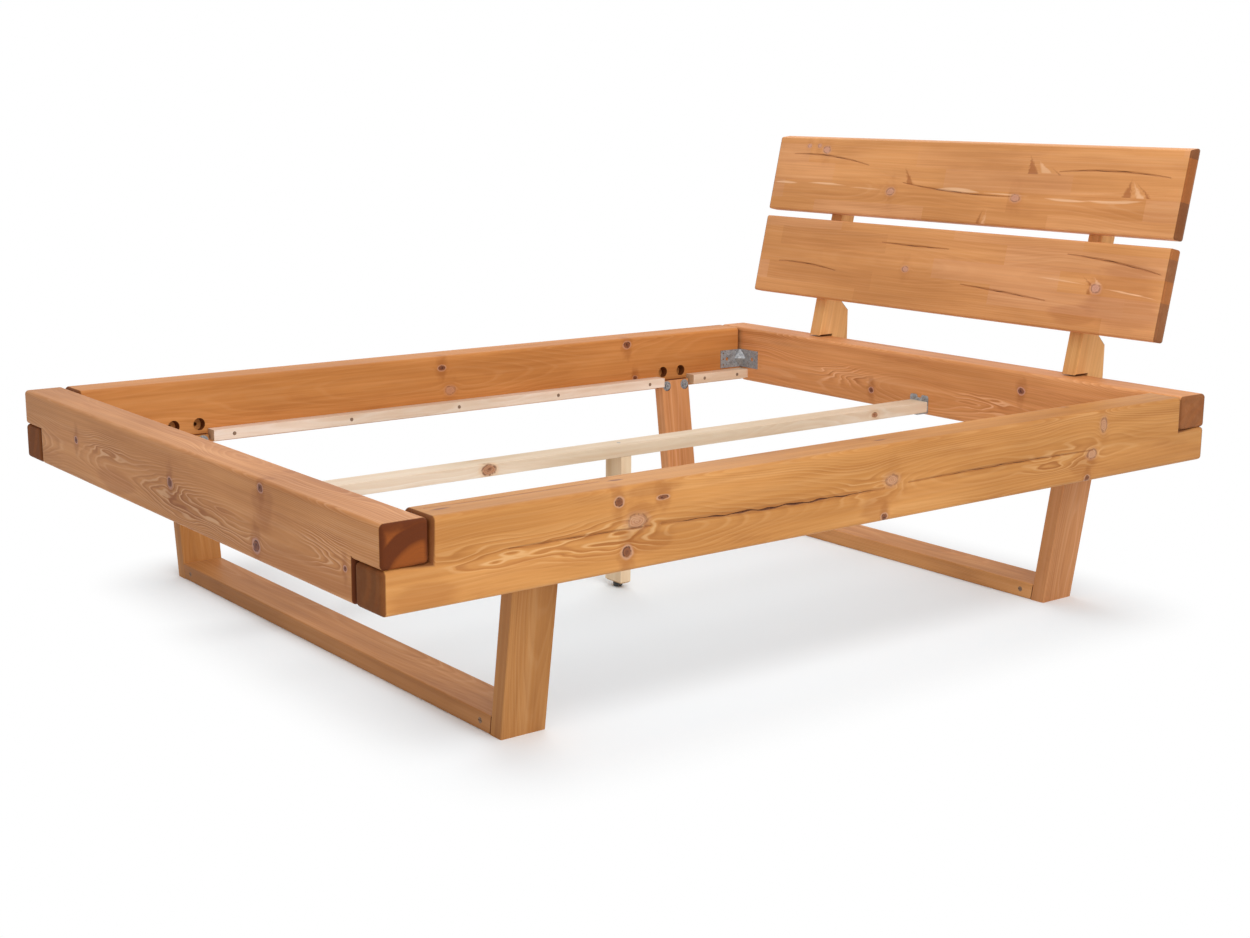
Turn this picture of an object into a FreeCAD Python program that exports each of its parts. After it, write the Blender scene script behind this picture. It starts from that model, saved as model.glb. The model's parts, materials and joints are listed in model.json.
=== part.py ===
import FreeCAD, Part
import math
import os
import Sketcher

# A low double bed of solid pine. Four heavy beams, half-lapped at the corners, stand on two
# sled legs whose posts lean outwards. A two-plank headboard leans back on two shaped supports.
# Frame: +Z up, floor at Z = 0, foot of the bed towards -Y, headboard towards +Y, and the
# origin under the middle of the beam frame, where the centre leg's glide meets the floor.

# Driving dimensions, in millimetres; the headboard's lean is in degrees.
SIZES = {
    # beam frame
    "frame_length": 2200,
    "frame_width": 1630,
    "beam_width": 90,
    "beam_height": 156,
    "beam_underside": 309,
    "beam_round": 9,
    "lap_gap": 4,
    # sled legs
    "sled_inset": 353,
    "sled_depth": 98,
    "post_thickness": 37,
    "post_spread": 45,
    "post_shoulder": 16.5,
    "post_tongue": 25,
    "post_round": 3,
    "runner_height": 37,
    # bolts that hold each post to its rail, and the empty bolt pockets above them
    "sled_bolt_rise": 9.5,
    "sled_bolt_spacing": 65,
    "sled_bolt_shank": 8,
    "sled_bolt_length": 56,
    "sled_bolt_head": 15,
    "sled_bolt_head_height": 4.5,
    "sled_bolt_socket": 5,
    "sled_bolt_socket_depth": 3,
    "sled_washer_diameter": 28,
    "sled_washer_thickness": 2,
    "bolt_clearance": 0.5,
    "pocket_rise": 48,
    "pocket_diameter": 30,
    "pocket_depth": 25,
    "pocket_pilot": 9,
    "pocket_pilot_depth": 15,
    # cam fittings that close the joint between runner and post
    "cam_diameter": 12,
    "cam_depth": 13,
    "cam_slot": 2,
    "cam_slot_depth": 1.5,
    "cam_inset": 34,
    "cam_bolt_diameter": 6,
    "cam_bolt_grip": 12,
    # cleats along the side rails
    "cleat_width": 35,
    "cleat_height": 26,
    "cleat_rise": 10,
    "cleat_end_gap": 5,
    "cleat_round": 1.5,
    "long_cleat_screw_inset": 53,
    "short_cleat_screw_inset": 42,
    # centre beam with its steel hangers, leg and glide
    "centre_beam_width": 60,
    "centre_beam_height": 28,
    "hanger_overhang": 1.5,
    "hanger_ear_height": 16,
    "hanger_ear_round": 6,
    "hanger_dip_depth": 8,
    "hanger_dip_width": 12,
    "hanger_shelf_length": 40,
    "shelf_screw_inset": 25,
    "plate_thickness": 2.5,
    "ear_screw_spacing": 36,
    "ear_screw_rise": 8,
    "leg_depth": 29,
    "leg_edge_width": 4,
    "glide_diameter": 22,
    "glide_height": 12,
    "glide_edge_width": 3,
    "glide_pin_diameter": 5,
    "glide_pin_length": 18,
    # corner brackets
    "bracket_leg": 78,
    "bracket_height": 52,
    "bracket_lift": 4,
    "bracket_rib": 24,
    "bracket_rib_tip": 1,
    "bracket_screw_place": 40,
    "bracket_screw_stagger": 21,
    "bracket_bolt_hole": 11,
    "bracket_bolt_place": 54,
    "bracket_spare_hole": 5,
    "bracket_spare_place": 68,
    "bracket_spare_stagger": 34,
    # headboard
    "headboard_lean": 12.3,
    "headboard_width": 1410,
    "plank_width": 222,
    "plank_thickness": 35,
    "plank_gap": 20,
    "plank_top_bevel": 12,
    "plank_round": 6,
    "headboard_lift": 116,
    "headboard_setback": 5,
    "support_spacing": 905,
    "support_thickness": 42,
    "arm_depth": 50,
    "arm_top_inset": 17,
    "support_block_depth": 62,
    "support_block_rise": 71,
    "support_foot_gap": 3.5,
    "support_drop": 125,
    "support_round": 3,
    # wood screws, and the long bolts of the headboard supports
    "screw_shank": 4.5,
    "screw_tip_length": 4,
    "screw_head": 9,
    "screw_head_height": 3,
    "screw_clearance": 0.5,
    "cleat_screw_length": 52,
    "plate_screw_length": 35,
    "shelf_screw_length": 22,
    "plank_screw_length": 72,
    "plank_screw_inset": 45,
    "leg_screw_length": 70,
    "support_bolt_shank": 10,
    "support_bolt_head": 17,
    "support_bolt_head_height": 6.5,
    "support_bolt_length": 130,
    "support_washer_diameter": 24,
    "support_washer_thickness": 2,
    "support_bolt_upper_inset": 35,
    "support_bolt_lower_inset": 90,
    # how far a cut runs past the face that it opens
    "overrun": 5,
}

doc = FreeCAD.newDocument("bed")
sheet = doc.addObject("Spreadsheet::Sheet", "sizes")
for row, (alias, number) in enumerate(SIZES.items(), start=1):
    sheet.set("A%d" % row, alias)
    sheet.set("B%d" % row, str(number))
    sheet.setAlias("B%d" % row, alias)
doc.recompute()


class Size:
    """A number kept together with the sheet formula that gives it."""

    def __init__(self, value, formula=None):
        self.value = value
        self.formula = str(value) if formula is None else formula

    def _join(self, sign, other, value):
        return Size(value, "(%s %s %s)" % (self.formula, sign, other.formula))

    def __add__(self, other):
        return self._join("+", other, self.value + other.value)

    def __sub__(self, other):
        return self._join("-", other, self.value - other.value)

    def __mul__(self, other):
        other = other if isinstance(other, Size) else Size(other)
        return self._join("*", other, self.value * other.value)

    def __truediv__(self, other):
        other = other if isinstance(other, Size) else Size(other)
        return self._join("/", other, self.value / other.value)

    def __neg__(self):
        return Size(-self.value, "(-%s)" % self.formula)


class Sheet:
    """Every driving dimension under its own name."""

    def __init__(self):
        for alias in SIZES:
            setattr(self, alias, Size(sheet.get(alias), "sizes." + alias))


def sine(angle):
    return Size(math.sin(math.radians(angle.value)), "sin(%s)" % angle.formula)


def cosine(angle):
    return Size(math.cos(math.radians(angle.value)), "cos(%s)" % angle.formula)


def angle_of(slope):
    return Size(math.degrees(math.atan(slope.value)), "(atan(%s) / 1deg)" % slope.formula)


s = Sheet()
zero = Size(0)
right_angle = Size(90)
full_turn = Size(360)

# Places in the bed's own frame that more than one piece shares.
half_length = s.frame_length / 2
half_width = s.frame_width / 2
half_beam = s.beam_width / 2
lap_height = s.beam_height / 2
shoulder = s.beam_width + s.lap_gap
rail_inner = half_width - s.beam_width
beam_inner = half_length - s.beam_width
beam_top = s.beam_underside + s.beam_height

post_slope = s.post_spread / s.beam_underside
post_tilt = angle_of(post_slope)
post_foot_outer = rail_inner + s.post_shoulder - s.post_spread
post_foot_inner = post_foot_outer - s.post_thickness
post_top = s.beam_underside + s.post_tongue
half_sled = s.sled_depth / 2
sled_offset = half_length - s.sled_inset

runner_middle = s.runner_height / 2
runner_end = post_foot_inner + post_slope * runner_middle
cam_x = runner_end - s.cam_inset
cam_bolt_y = half_sled - s.cam_depth / 2

bolt_z = s.beam_underside + s.sled_bolt_rise
half_bolt_spacing = s.sled_bolt_spacing / 2
washer_seat_x = post_foot_inner + post_slope * post_top
washer_face_x = washer_seat_x - s.sled_washer_thickness
bolt_end_x = washer_face_x + s.sled_bolt_length

cleat_bottom = s.beam_underside + s.cleat_rise
cleat_top = cleat_bottom + s.cleat_height
cleat_middle = cleat_bottom + s.cleat_height / 2
cleat_inner = rail_inner - s.cleat_width
long_cleat_end = sled_offset - half_sled - s.cleat_end_gap
short_cleat_start = sled_offset + half_sled + s.cleat_end_gap
outer_screw = long_cleat_end - s.long_cleat_screw_inset
long_cleat_screws = [-outer_screw, -outer_screw / 2, zero, outer_screw / 2, outer_screw]
short_cleat_screws = [short_cleat_start + s.short_cleat_screw_inset,
                      beam_inner - s.short_cleat_screw_inset]

hanger_face = beam_inner - s.plate_thickness
centre_beam_bottom = cleat_top - s.centre_beam_height
hanger_bottom = centre_beam_bottom - s.plate_thickness
hanger_top = cleat_top + s.hanger_ear_height
half_ear_spacing = s.ear_screw_spacing / 2
ear_screw_z = cleat_top + s.ear_screw_rise
shelf_screw_y = hanger_face - s.shelf_screw_inset

bracket_bottom = cleat_top + s.bracket_lift
bracket_middle = bracket_bottom + s.bracket_height / 2
bracket_top = bracket_bottom + s.bracket_height

lean_sine = sine(s.headboard_lean)
lean_cosine = cosine(s.headboard_lean)
plank_front_y = beam_inner + s.headboard_setback
lower_plank_start = s.headboard_lift
upper_plank_start = lower_plank_start + s.plank_width + s.plank_gap
arm_back = s.plank_thickness + s.arm_depth
arm_end = upper_plank_start + s.plank_width - s.arm_top_inset
support_x = s.support_spacing / 2
support_back_y = half_length + s.support_block_depth
support_bolt_heights = (beam_top - s.support_bolt_upper_inset,
                        beam_top - s.support_bolt_lower_inset)
plank_screw_places = (s.plank_screw_inset, s.plank_width - s.plank_screw_inset)

SIDES = (("left", -1), ("right", 1))
ENDS = (("foot", -1), ("head", 1))
BOTH = (-1, 1)

# The sign of each base plane's normal along its axis.
NORMAL_SIGN = {"XY_Plane": 1, "XZ_Plane": -1, "YZ_Plane": 1}

subparts = []


def bind(thing, prop, size):
    thing.setExpression(prop, size.formula)


def new_body(name, is_subpart=True):
    body = doc.addObject("PartDesign::Body", name)
    body.Label = name
    if is_subpart:
        subparts.append(body)
    return body


def place(thing, x=zero, y=zero, z=zero, turned_about=(0, 0, 1), angle=zero):
    """Set where a body or a cutting solid stands, and its turn about an axis."""
    thing.Placement = FreeCAD.Placement(
        FreeCAD.Vector(x.value, y.value, z.value),
        FreeCAD.Rotation(FreeCAD.Vector(*turned_about), angle.value))
    for axis, size in zip("xyz", (x, y, z)):
        bind(thing, "Placement.Base." + axis, size)
    if angle is not zero:
        bind(thing, "Placement.Rotation.Angle", angle)


def new_sketch(body, name, role, offset=zero):
    """A sketch on one of the body's own base planes, moved along that plane's axis."""
    sketch = body.newObject("Sketcher::SketchObject", name)
    base = [item for item in body.Origin.OriginFeatures if item.Role == role][0]
    sketch.AttachmentSupport = (base, "")
    sketch.MapMode = "FlatFace"
    shift = offset * NORMAL_SIGN[role]
    sketch.AttachmentOffset = FreeCAD.Placement(FreeCAD.Vector(0, 0, shift.value),
                                                FreeCAD.Rotation())
    bind(sketch, "AttachmentOffset.Base.z", shift)
    return sketch


def fix_point(sketch, item, end, point):
    """Tie one point of a sketch to its two distances from the sketch's origin."""
    for kind, size in zip(("DistanceX", "DistanceY"), point):
        index = sketch.addConstraint(Sketcher.Constraint(kind, -1, 1, item, end, size.value))
        bind(sketch, "Constraints[%d]" % index, size)


def outline(body, name, role, points, offset=zero):
    """A closed outline of straight lines through points, each tied to the sheet."""
    sketch = new_sketch(body, name, role, offset)
    corners = [FreeCAD.Vector(across.value, up.value, 0) for across, up in points]
    for start, end in zip(corners, corners[1:] + corners[:1]):
        sketch.addGeometry(Part.LineSegment(start, end), False)
    for item in range(len(points)):
        follower = (item + 1) % len(points)
        sketch.addConstraint(Sketcher.Constraint("Coincident", item, 2, follower, 1))
        fix_point(sketch, item, 1, points[item])
    return sketch


def rectangle(body, name, role, low, high, offset=zero):
    corners = [low, (high[0], low[1]), high, (low[0], high[1])]
    return outline(body, name, role, corners, offset)


def circles(body, name, role, centres, diameter, offset=zero):
    """Circles of one diameter about the given centres."""
    sketch = new_sketch(body, name, role, offset)
    for item, centre in enumerate(centres):
        middle = FreeCAD.Vector(centre[0].value, centre[1].value, 0)
        circle = Part.Circle(middle, FreeCAD.Vector(0, 0, 1), diameter.value / 2)
        sketch.addGeometry(circle, False)
        fix_point(sketch, item, 3, centre)
        index = sketch.addConstraint(Sketcher.Constraint("Diameter", item, diameter.value))
        bind(sketch, "Constraints[%d]" % index, diameter)
    return sketch


def hexagon(body, name, across_flats, offset=zero):
    """A hexagon about the body's Z axis."""
    corner = across_flats / 2 / cosine(full_turn / 12)
    turns = [full_turn / 6 * step for step in range(6)]
    points = [(corner * cosine(angle), corner * sine(angle)) for angle in turns]
    return outline(body, name, "XY_Plane", points, offset)


def pad(body, sketch, length, both_ways=False):
    feature = body.newObject("PartDesign::Pad", sketch.Name + "_pad")
    feature.Profile = sketch
    if both_ways:
        feature.SideType = "Symmetric"
    bind(feature, "Length", length)
    doc.recompute()


def pocket(body, sketch, depth, role, way):
    """Cut a sketch into the body, towards +1 or -1 along the plane's axis."""
    before = body.Shape.Volume
    feature = body.newObject("PartDesign::Pocket", sketch.Name + "_cut")
    feature.Profile = sketch
    feature.Reversed = way * NORMAL_SIGN[role] > 0
    bind(feature, "Length", depth)
    doc.recompute()
    if body.Shape.Volume >= before:
        raise ValueError("%s cuts nothing from %s" % (sketch.Name, body.Label))


def drill(body, name, role, start, way, centres, diameter, depth):
    """Round holes of one size, from a start along the plane's axis."""
    pocket(body, circles(body, name, role, centres, diameter, start), depth, role, way)


def bore(body, name, point, turned_about, angle, diameter, depth):
    """A round hole from a point, along the Z axis turned by an angle about another axis."""
    before = body.Shape.Volume
    feature = body.newObject("PartDesign::SubtractiveCylinder", name)
    bind(feature, "Radius", diameter / 2)
    bind(feature, "Height", depth)
    place(feature, *point, turned_about, angle)
    doc.recompute()
    if body.Shape.Volume >= before:
        raise ValueError("%s cuts nothing from %s" % (name, body.Label))


def spin(body, name, points):
    """A solid turned about the body's Z axis from a half outline of (radius, height)."""
    sketch = outline(body, name, "XZ_Plane", points)
    feature = body.newObject("PartDesign::Revolution", name + "_turned")
    feature.Profile = sketch
    feature.ReferenceAxis = (sketch, ["V_Axis"])
    bind(feature, "Angle", full_turn)
    doc.recompute()


def is_at(coordinate, size):
    """True where a coordinate lies at plus or minus a size."""
    return abs(abs(coordinate) - abs(size.value)) < Part.Precision.approximation()


def soften(body, kind, amount, test):
    """Round or chamfer those edges of the body's last feature whose two ends pass a test."""
    base = body.Tip
    names = []
    for number, edge in enumerate(base.Shape.Edges, start=1):
        if len(edge.Vertexes) == 2 and test(edge.Vertexes[0].Point, edge.Vertexes[1].Point):
            names.append("Edge%d" % number)
    feature = body.newObject("PartDesign::" + kind, "%s_%s" % (body.Name, kind.lower()))
    feature.Base = (base, names)
    bind(feature, "Radius" if kind == "Fillet" else "Size", amount)
    doc.recompute()


def along(axis):
    """A test for edges that run along one axis, numbered 0, 1 or 2."""
    def test(start, end):
        return all(is_at(start[other] - end[other], zero) for other in range(3) if other != axis)
    return test


def every_edge(start, end):
    return True


def span(low, high, side=1):
    """A range along an axis, lowest first, on the side that the sign gives."""
    return (low, high) if side > 0 else (-high, -low)


def box_body(name, x_range, y_range, z_range):
    body = new_body(name)
    low, high = zip(x_range, y_range)
    plan = rectangle(body, name + "_plan", "XY_Plane", low, high, z_range[0])
    pad(body, plan, z_range[1] - z_range[0])
    return body


def screw_body(name, shank, head, head_height, length):
    """A headed screw along -Z whose head seats at Z = 0, kept as the master of a group."""
    body = new_body(name, is_subpart=False)
    tip = -length
    spin(body, name + "_half",
         [(zero, head_height), (head / 2, head_height), (head / 2, zero), (shank / 2, zero),
          (shank / 2, tip + s.screw_tip_length), (shank / 8, tip), (zero, tip)])
    return body


def washer_body(name, diameter, bore_diameter, thickness):
    """A flat washer that stands on Z = 0, kept as the master of a group."""
    body = new_body(name, is_subpart=False)
    pad(body, circles(body, name + "_rim", "XY_Plane", [(zero, zero)], diameter), thickness)
    drill(body, name + "_eye", "XY_Plane", thickness, -1, [(zero, zero)], bore_diameter,
          thickness + s.overrun)
    return body


def group(name, master, places):
    """Copies of a master: each place is a point and where its Z axis, and its X axis, point."""
    copies = []
    for point, outward, sideways in places:
        spot = FreeCAD.Vector(*[size.value for size in point])
        turned = FreeCAD.Rotation(FreeCAD.Vector(*sideways), FreeCAD.Vector(0, 0, 0),
                                  FreeCAD.Vector(*outward), "ZXY")
        copies.append(master.Shape.transformed(FreeCAD.Placement(spot, turned).toMatrix()))
    feature = doc.addObject("Part::Feature", name)
    feature.Label = name
    feature.Shape = Part.makeCompound(copies)
    feature.Placement = FreeCAD.Placement()
    subparts.append(feature)


# The four beams. Each end of a cross beam keeps its upper half, and each end of a side rail
# its lower half, so the rails carry the cross beams at the corners.

def lapped_beam(name, role, lower_end, upper_end):
    body = new_body(name)
    points = [(-lower_end, zero), (lower_end, zero), (lower_end, lap_height),
              (upper_end, lap_height), (upper_end, s.beam_height),
              (-upper_end, s.beam_height), (-upper_end, lap_height), (-lower_end, lap_height)]
    pad(body, outline(body, name + "_side", role, points), s.beam_width, both_ways=True)
    lengthwise = {"XZ_Plane": 0, "YZ_Plane": 1}[role]
    notch = min(lower_end, upper_end, key=lambda reach: reach.value)

    def outside_the_notch(start, end):
        return not all(is_at(point.z, lap_height) and is_at(point[lengthwise], notch)
                       for point in (start, end))

    soften(body, "Fillet", s.beam_round, outside_the_notch)
    return body


def bracket_screws(corner, sign):
    """The two screws in one bracket leg: place along the beam, and height over the floor."""
    across = (corner - s.bracket_screw_place) * sign
    half_stagger = s.bracket_screw_stagger / 2
    return [(across, bracket_middle + half_stagger), (across, bracket_middle - half_stagger)]


def over_underside(places):
    """Places with their heights counted from the beams' underside."""
    return [(across, height - s.beam_underside) for across, height in places]


def cross_beam(end_name, end):
    body = lapped_beam(end_name + "_beam", "XZ_Plane", half_width - shoulder, half_width)
    inner_face = half_beam * -end
    screws = [screw for side in BOTH for screw in bracket_screws(rail_inner, side)]
    screws += [(half_ear_spacing * side, ear_screw_z) for side in BOTH]
    drill(body, end_name + "_beam_screws", "XZ_Plane", inner_face, end, over_underside(screws),
          s.screw_shank, s.plate_screw_length - s.plate_thickness)
    if end > 0:
        bolts = [(support_x * side, height) for side in BOTH for height in support_bolt_heights]
        drill(body, "head_beam_bolts", "XZ_Plane", half_beam, -1, over_underside(bolts),
              s.support_bolt_shank, s.support_bolt_length - s.support_block_depth)
    place(body, y=(half_length - half_beam) * end, z=s.beam_underside)


def side_rail(side_name, side):
    name = "side_rail_" + side_name
    body = lapped_beam(name, "YZ_Plane", half_length, half_length - shoulder)
    inner_face = half_beam * -side
    screws = [screw for end in BOTH for screw in bracket_screws(beam_inner, end)]
    drill(body, name + "_bracket_screws", "YZ_Plane", inner_face, side, over_underside(screws),
          s.screw_shank, s.plate_screw_length - s.plate_thickness)
    cleat_screws = [(y, cleat_middle) for y in long_cleat_screws]
    cleat_screws += [(y * end, cleat_middle) for end in BOTH for y in short_cleat_screws]
    drill(body, name + "_cleat_screws", "YZ_Plane", inner_face, side,
          over_underside(cleat_screws), s.screw_shank,
          s.cleat_screw_length - s.cleat_width + s.screw_head_height)
    bolts = [(sled_offset * end + half_bolt_spacing * step, s.sled_bolt_rise)
             for end in BOTH for step in BOTH]
    drill(body, name + "_sled_bolts", "YZ_Plane", inner_face, side, bolts, s.sled_bolt_shank,
          bolt_end_x - rail_inner)
    tilt_cosine = cosine(post_tilt)
    tilt_sine = sine(post_tilt)
    mouth_x = inner_face - s.overrun * tilt_cosine * side
    mouth_z = s.pocket_rise + s.overrun * tilt_sine
    for number, (y, _) in enumerate(bolts, start=1):
        for kind, diameter, depth in (
                ("pocket", s.pocket_diameter, s.pocket_depth),
                ("pilot", s.pocket_pilot, s.pocket_depth + s.pocket_pilot_depth)):
            bore(body, "%s_%s_%d" % (name, kind, number), (mouth_x, y, mouth_z),
                 (0, side, 0), right_angle + post_tilt, diameter, s.overrun + depth)
    place(body, x=(half_width - half_beam) * side, z=s.beam_underside)


# The sled legs: two leaning posts on a runner. Each post ends in a shoulder under its rail and
# a tongue that stands against the rail's inner face.

def sled_post(end_name, end, side_name, side):
    name = "%s_sled_post_%s" % (end_name, side_name)
    body = new_body(name)
    points = [(post_foot_inner, zero), (post_foot_outer, zero),
              (post_foot_outer + s.post_spread, s.beam_underside),
              (rail_inner, s.beam_underside), (rail_inner, post_top),
              (post_foot_inner + post_slope * post_top, post_top)]
    points = [(across * side, up) for across, up in points]
    pad(body, outline(body, name + "_front", "XZ_Plane", points), s.sled_depth, both_ways=True)

    def leaning(start, end_point):
        return abs(start.z - end_point.z) > s.post_tongue.value

    soften(body, "Fillet", s.post_round, leaning)
    bolts = [(half_bolt_spacing * step, bolt_z) for step in BOTH]
    seat = post_foot_inner * side
    drill(body, name + "_washer_seats", "YZ_Plane", seat, side, bolts,
          s.sled_washer_diameter + s.bolt_clearance, washer_seat_x - post_foot_inner)
    drill(body, name + "_bolt_holes", "YZ_Plane", seat, side, bolts,
          s.sled_bolt_shank + s.bolt_clearance, rail_inner - post_foot_inner + s.overrun)
    cam_bolts = [(cam_bolt_y * step, runner_middle) for step in BOTH]
    drill(body, name + "_cam_bolts", "YZ_Plane", cam_x * side, side, cam_bolts,
          s.cam_bolt_diameter, s.cam_inset + s.cam_bolt_grip)
    place(body, y=sled_offset * end)


def sled_runner(end_name, end):
    name = end_name + "_sled_runner"
    body = new_body(name)
    top_end = post_foot_inner + post_slope * s.runner_height
    points = [(-post_foot_inner, zero), (post_foot_inner, zero), (top_end, s.runner_height),
              (-top_end, s.runner_height)]
    pad(body, outline(body, name + "_front", "XZ_Plane", points), s.sled_depth, both_ways=True)
    soften(body, "Fillet", s.post_round, along(0))
    cams = [(cam_x * side, runner_middle) for side in BOTH]
    for face_name, face in (("near", -1), ("far", 1)):
        drill(body, "%s_%s_cams" % (name, face_name), "XZ_Plane", half_sled * face, -face, cams,
              s.cam_diameter, s.cam_depth)
    cam_bolts = [(cam_bolt_y * step, runner_middle) for step in BOTH]
    for side_name, side in SIDES:
        drill(body, "%s_bolts_%s" % (name, side_name), "YZ_Plane", cam_x * side, side, cam_bolts,
              s.cam_bolt_diameter, s.cam_inset + s.overrun)
    place(body, y=sled_offset * end)


def cam_body():
    """A cam that is let into the runner's side: its slotted face lies at Z = 0."""
    body = new_body("cam", is_subpart=False)
    pad(body, circles(body, "cam_rim", "XY_Plane", [(zero, zero)], s.cam_diameter, -s.cam_depth),
        s.cam_depth)
    half_slot = s.cam_slot / 2
    slot = rectangle(body, "cam_slot", "XY_Plane", (-s.cam_diameter, -half_slot),
                     (s.cam_diameter, half_slot))
    pocket(body, slot, s.cam_slot_depth, "XY_Plane", -1)
    drill(body, "cam_bolt_hole", "YZ_Plane", zero, 1, [(zero, -s.cam_depth / 2)],
          s.cam_bolt_diameter, s.cam_diameter)
    return body


def cam_bolt_body():
    """The connecting bolt, along +X from the cam's axis into the post."""
    body = new_body("cam_bolt", is_subpart=False)
    rim = circles(body, "cam_bolt_rim", "YZ_Plane", [(zero, zero)], s.cam_bolt_diameter)
    pad(body, rim, s.cam_inset + s.cam_bolt_grip)
    return body


def sled_fittings():
    bolt = screw_body("sled_bolt", s.sled_bolt_shank, s.sled_bolt_head, s.sled_bolt_head_height,
                      s.sled_bolt_length)
    socket = hexagon(bolt, "sled_bolt_key", s.sled_bolt_socket, s.sled_bolt_head_height)
    pocket(bolt, socket, s.sled_bolt_socket_depth, "XY_Plane", -1)
    washer = washer_body("sled_washer", s.sled_washer_diameter,
                         s.sled_bolt_shank + s.bolt_clearance, s.sled_washer_thickness)
    bolt_places, washer_places, cam_places, cam_bolt_places = [], [], [], []
    for end in BOTH:
        for side in BOTH:
            for step in BOTH:
                y = sled_offset * end + half_bolt_spacing * step
                inward = (-side, 0, 0)
                bolt_places.append(((washer_face_x * side, y, bolt_z), inward, (0, 1, 0)))
                washer_places.append(((washer_seat_x * side, y, bolt_z), inward, (0, 1, 0)))
                face_y = sled_offset * end + half_sled * step
                cam_places.append(((cam_x * side, face_y, runner_middle), (0, step, 0),
                                   (side, 0, 0)))
                bolt_y = sled_offset * end + cam_bolt_y * step
                cam_bolt_places.append(((cam_x * side, bolt_y, runner_middle), (0, step, 0),
                                        (side, 0, 0)))
    group("sled_bolts", bolt, bolt_places)
    group("sled_washers", washer, washer_places)
    group("runner_cams", cam_body(), cam_places)
    group("runner_cam_bolts", cam_bolt_body(), cam_bolt_places)


# The cleats that carry the slatted base: a long one between the sled legs, and a short one
# from each sled leg to the cross beam.

def cleat(name, side, y_range, screw_places):
    body = box_body(name, span(cleat_inner, rail_inner, side), y_range,
                    (cleat_bottom, cleat_top))
    soften(body, "Fillet", s.cleat_round, along(1))
    centres = [(y, cleat_middle) for y in screw_places]
    start = cleat_inner * side
    drill(body, name + "_sinks", "YZ_Plane", start, side, centres,
          s.screw_head + s.screw_clearance, s.screw_head_height)
    drill(body, name + "_holes", "YZ_Plane", start, side, centres,
          s.screw_shank + s.screw_clearance, s.cleat_width + s.overrun)


def cleats():
    screw_places = []
    for side_name, side in SIDES:
        cleat("long_cleat_" + side_name, side, (-long_cleat_end, long_cleat_end),
              long_cleat_screws)
        side_screws = list(long_cleat_screws)
        for end_name, end in ENDS:
            screws = [y * end for y in short_cleat_screws]
            cleat("%s_cleat_%s" % (end_name, side_name), side,
                  span(short_cleat_start, beam_inner, end), screws)
            side_screws += screws
        seat = (cleat_inner + s.screw_head_height) * side
        screw_places += [((seat, y, cleat_middle), (-side, 0, 0), (0, 1, 0))
                         for y in side_screws]
    screw = screw_body("cleat_screw", s.screw_shank, s.screw_head, s.screw_head_height,
                       s.cleat_screw_length)
    group("cleat_screws", screw, screw_places)


# The centre beam hangs level with the cleats between two steel hangers, with one leg under
# its middle.

def centre_beam():
    half = s.centre_beam_width / 2
    body = box_body("centre_beam", (-half, half), (-hanger_face, hanger_face),
                    (centre_beam_bottom, cleat_top))
    soften(body, "Fillet", s.cleat_round, along(1))
    drill(body, "centre_beam_shelf_screws", "XY_Plane", centre_beam_bottom, 1,
          [(zero, shelf_screw_y * end) for end in BOTH], s.screw_shank,
          s.shelf_screw_length - s.plate_thickness)
    drill(body, "centre_beam_leg_sink", "XY_Plane", cleat_top, -1, [(zero, zero)],
          s.screw_head + s.screw_clearance, s.screw_head_height)
    drill(body, "centre_beam_leg_hole", "XY_Plane", cleat_top, -1, [(zero, zero)],
          s.screw_shank + s.screw_clearance, s.centre_beam_height + s.overrun)


def centre_leg():
    half = s.centre_beam_width / 2
    half_depth = s.leg_depth / 2
    body = box_body("centre_leg", (-half, half), (-half_depth, half_depth),
                    (s.glide_height, centre_beam_bottom))

    def at_the_foot(start, end):
        return is_at(start.z, s.glide_height) and is_at(end.z, s.glide_height)

    soften(body, "Chamfer", s.leg_edge_width, at_the_foot)
    drill(body, "centre_leg_pilot", "XY_Plane", centre_beam_bottom, -1, [(zero, zero)],
          s.screw_shank, s.leg_screw_length - s.centre_beam_height)
    drill(body, "centre_leg_pin_hole", "XY_Plane", s.glide_height, 1, [(zero, zero)],
          s.glide_pin_diameter, s.glide_pin_length)
    screw = screw_body("leg_fixing", s.screw_shank, s.screw_head, s.screw_head_height,
                       s.leg_screw_length - s.screw_head_height)
    group("centre_leg_screw", screw,
          [((zero, zero, cleat_top - s.screw_head_height), (0, 0, 1), (1, 0, 0))])


def centre_glide():
    body = new_body("centre_leg_glide")
    radius = s.glide_diameter / 2
    pin = s.glide_pin_diameter / 2
    pin_top = s.glide_height + s.glide_pin_length
    spin(body, "glide_half",
         [(zero, zero), (radius - s.glide_edge_width, zero), (radius, s.glide_edge_width),
          (radius, s.glide_height), (pin, s.glide_height), (pin, pin_top), (zero, pin_top)])


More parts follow.
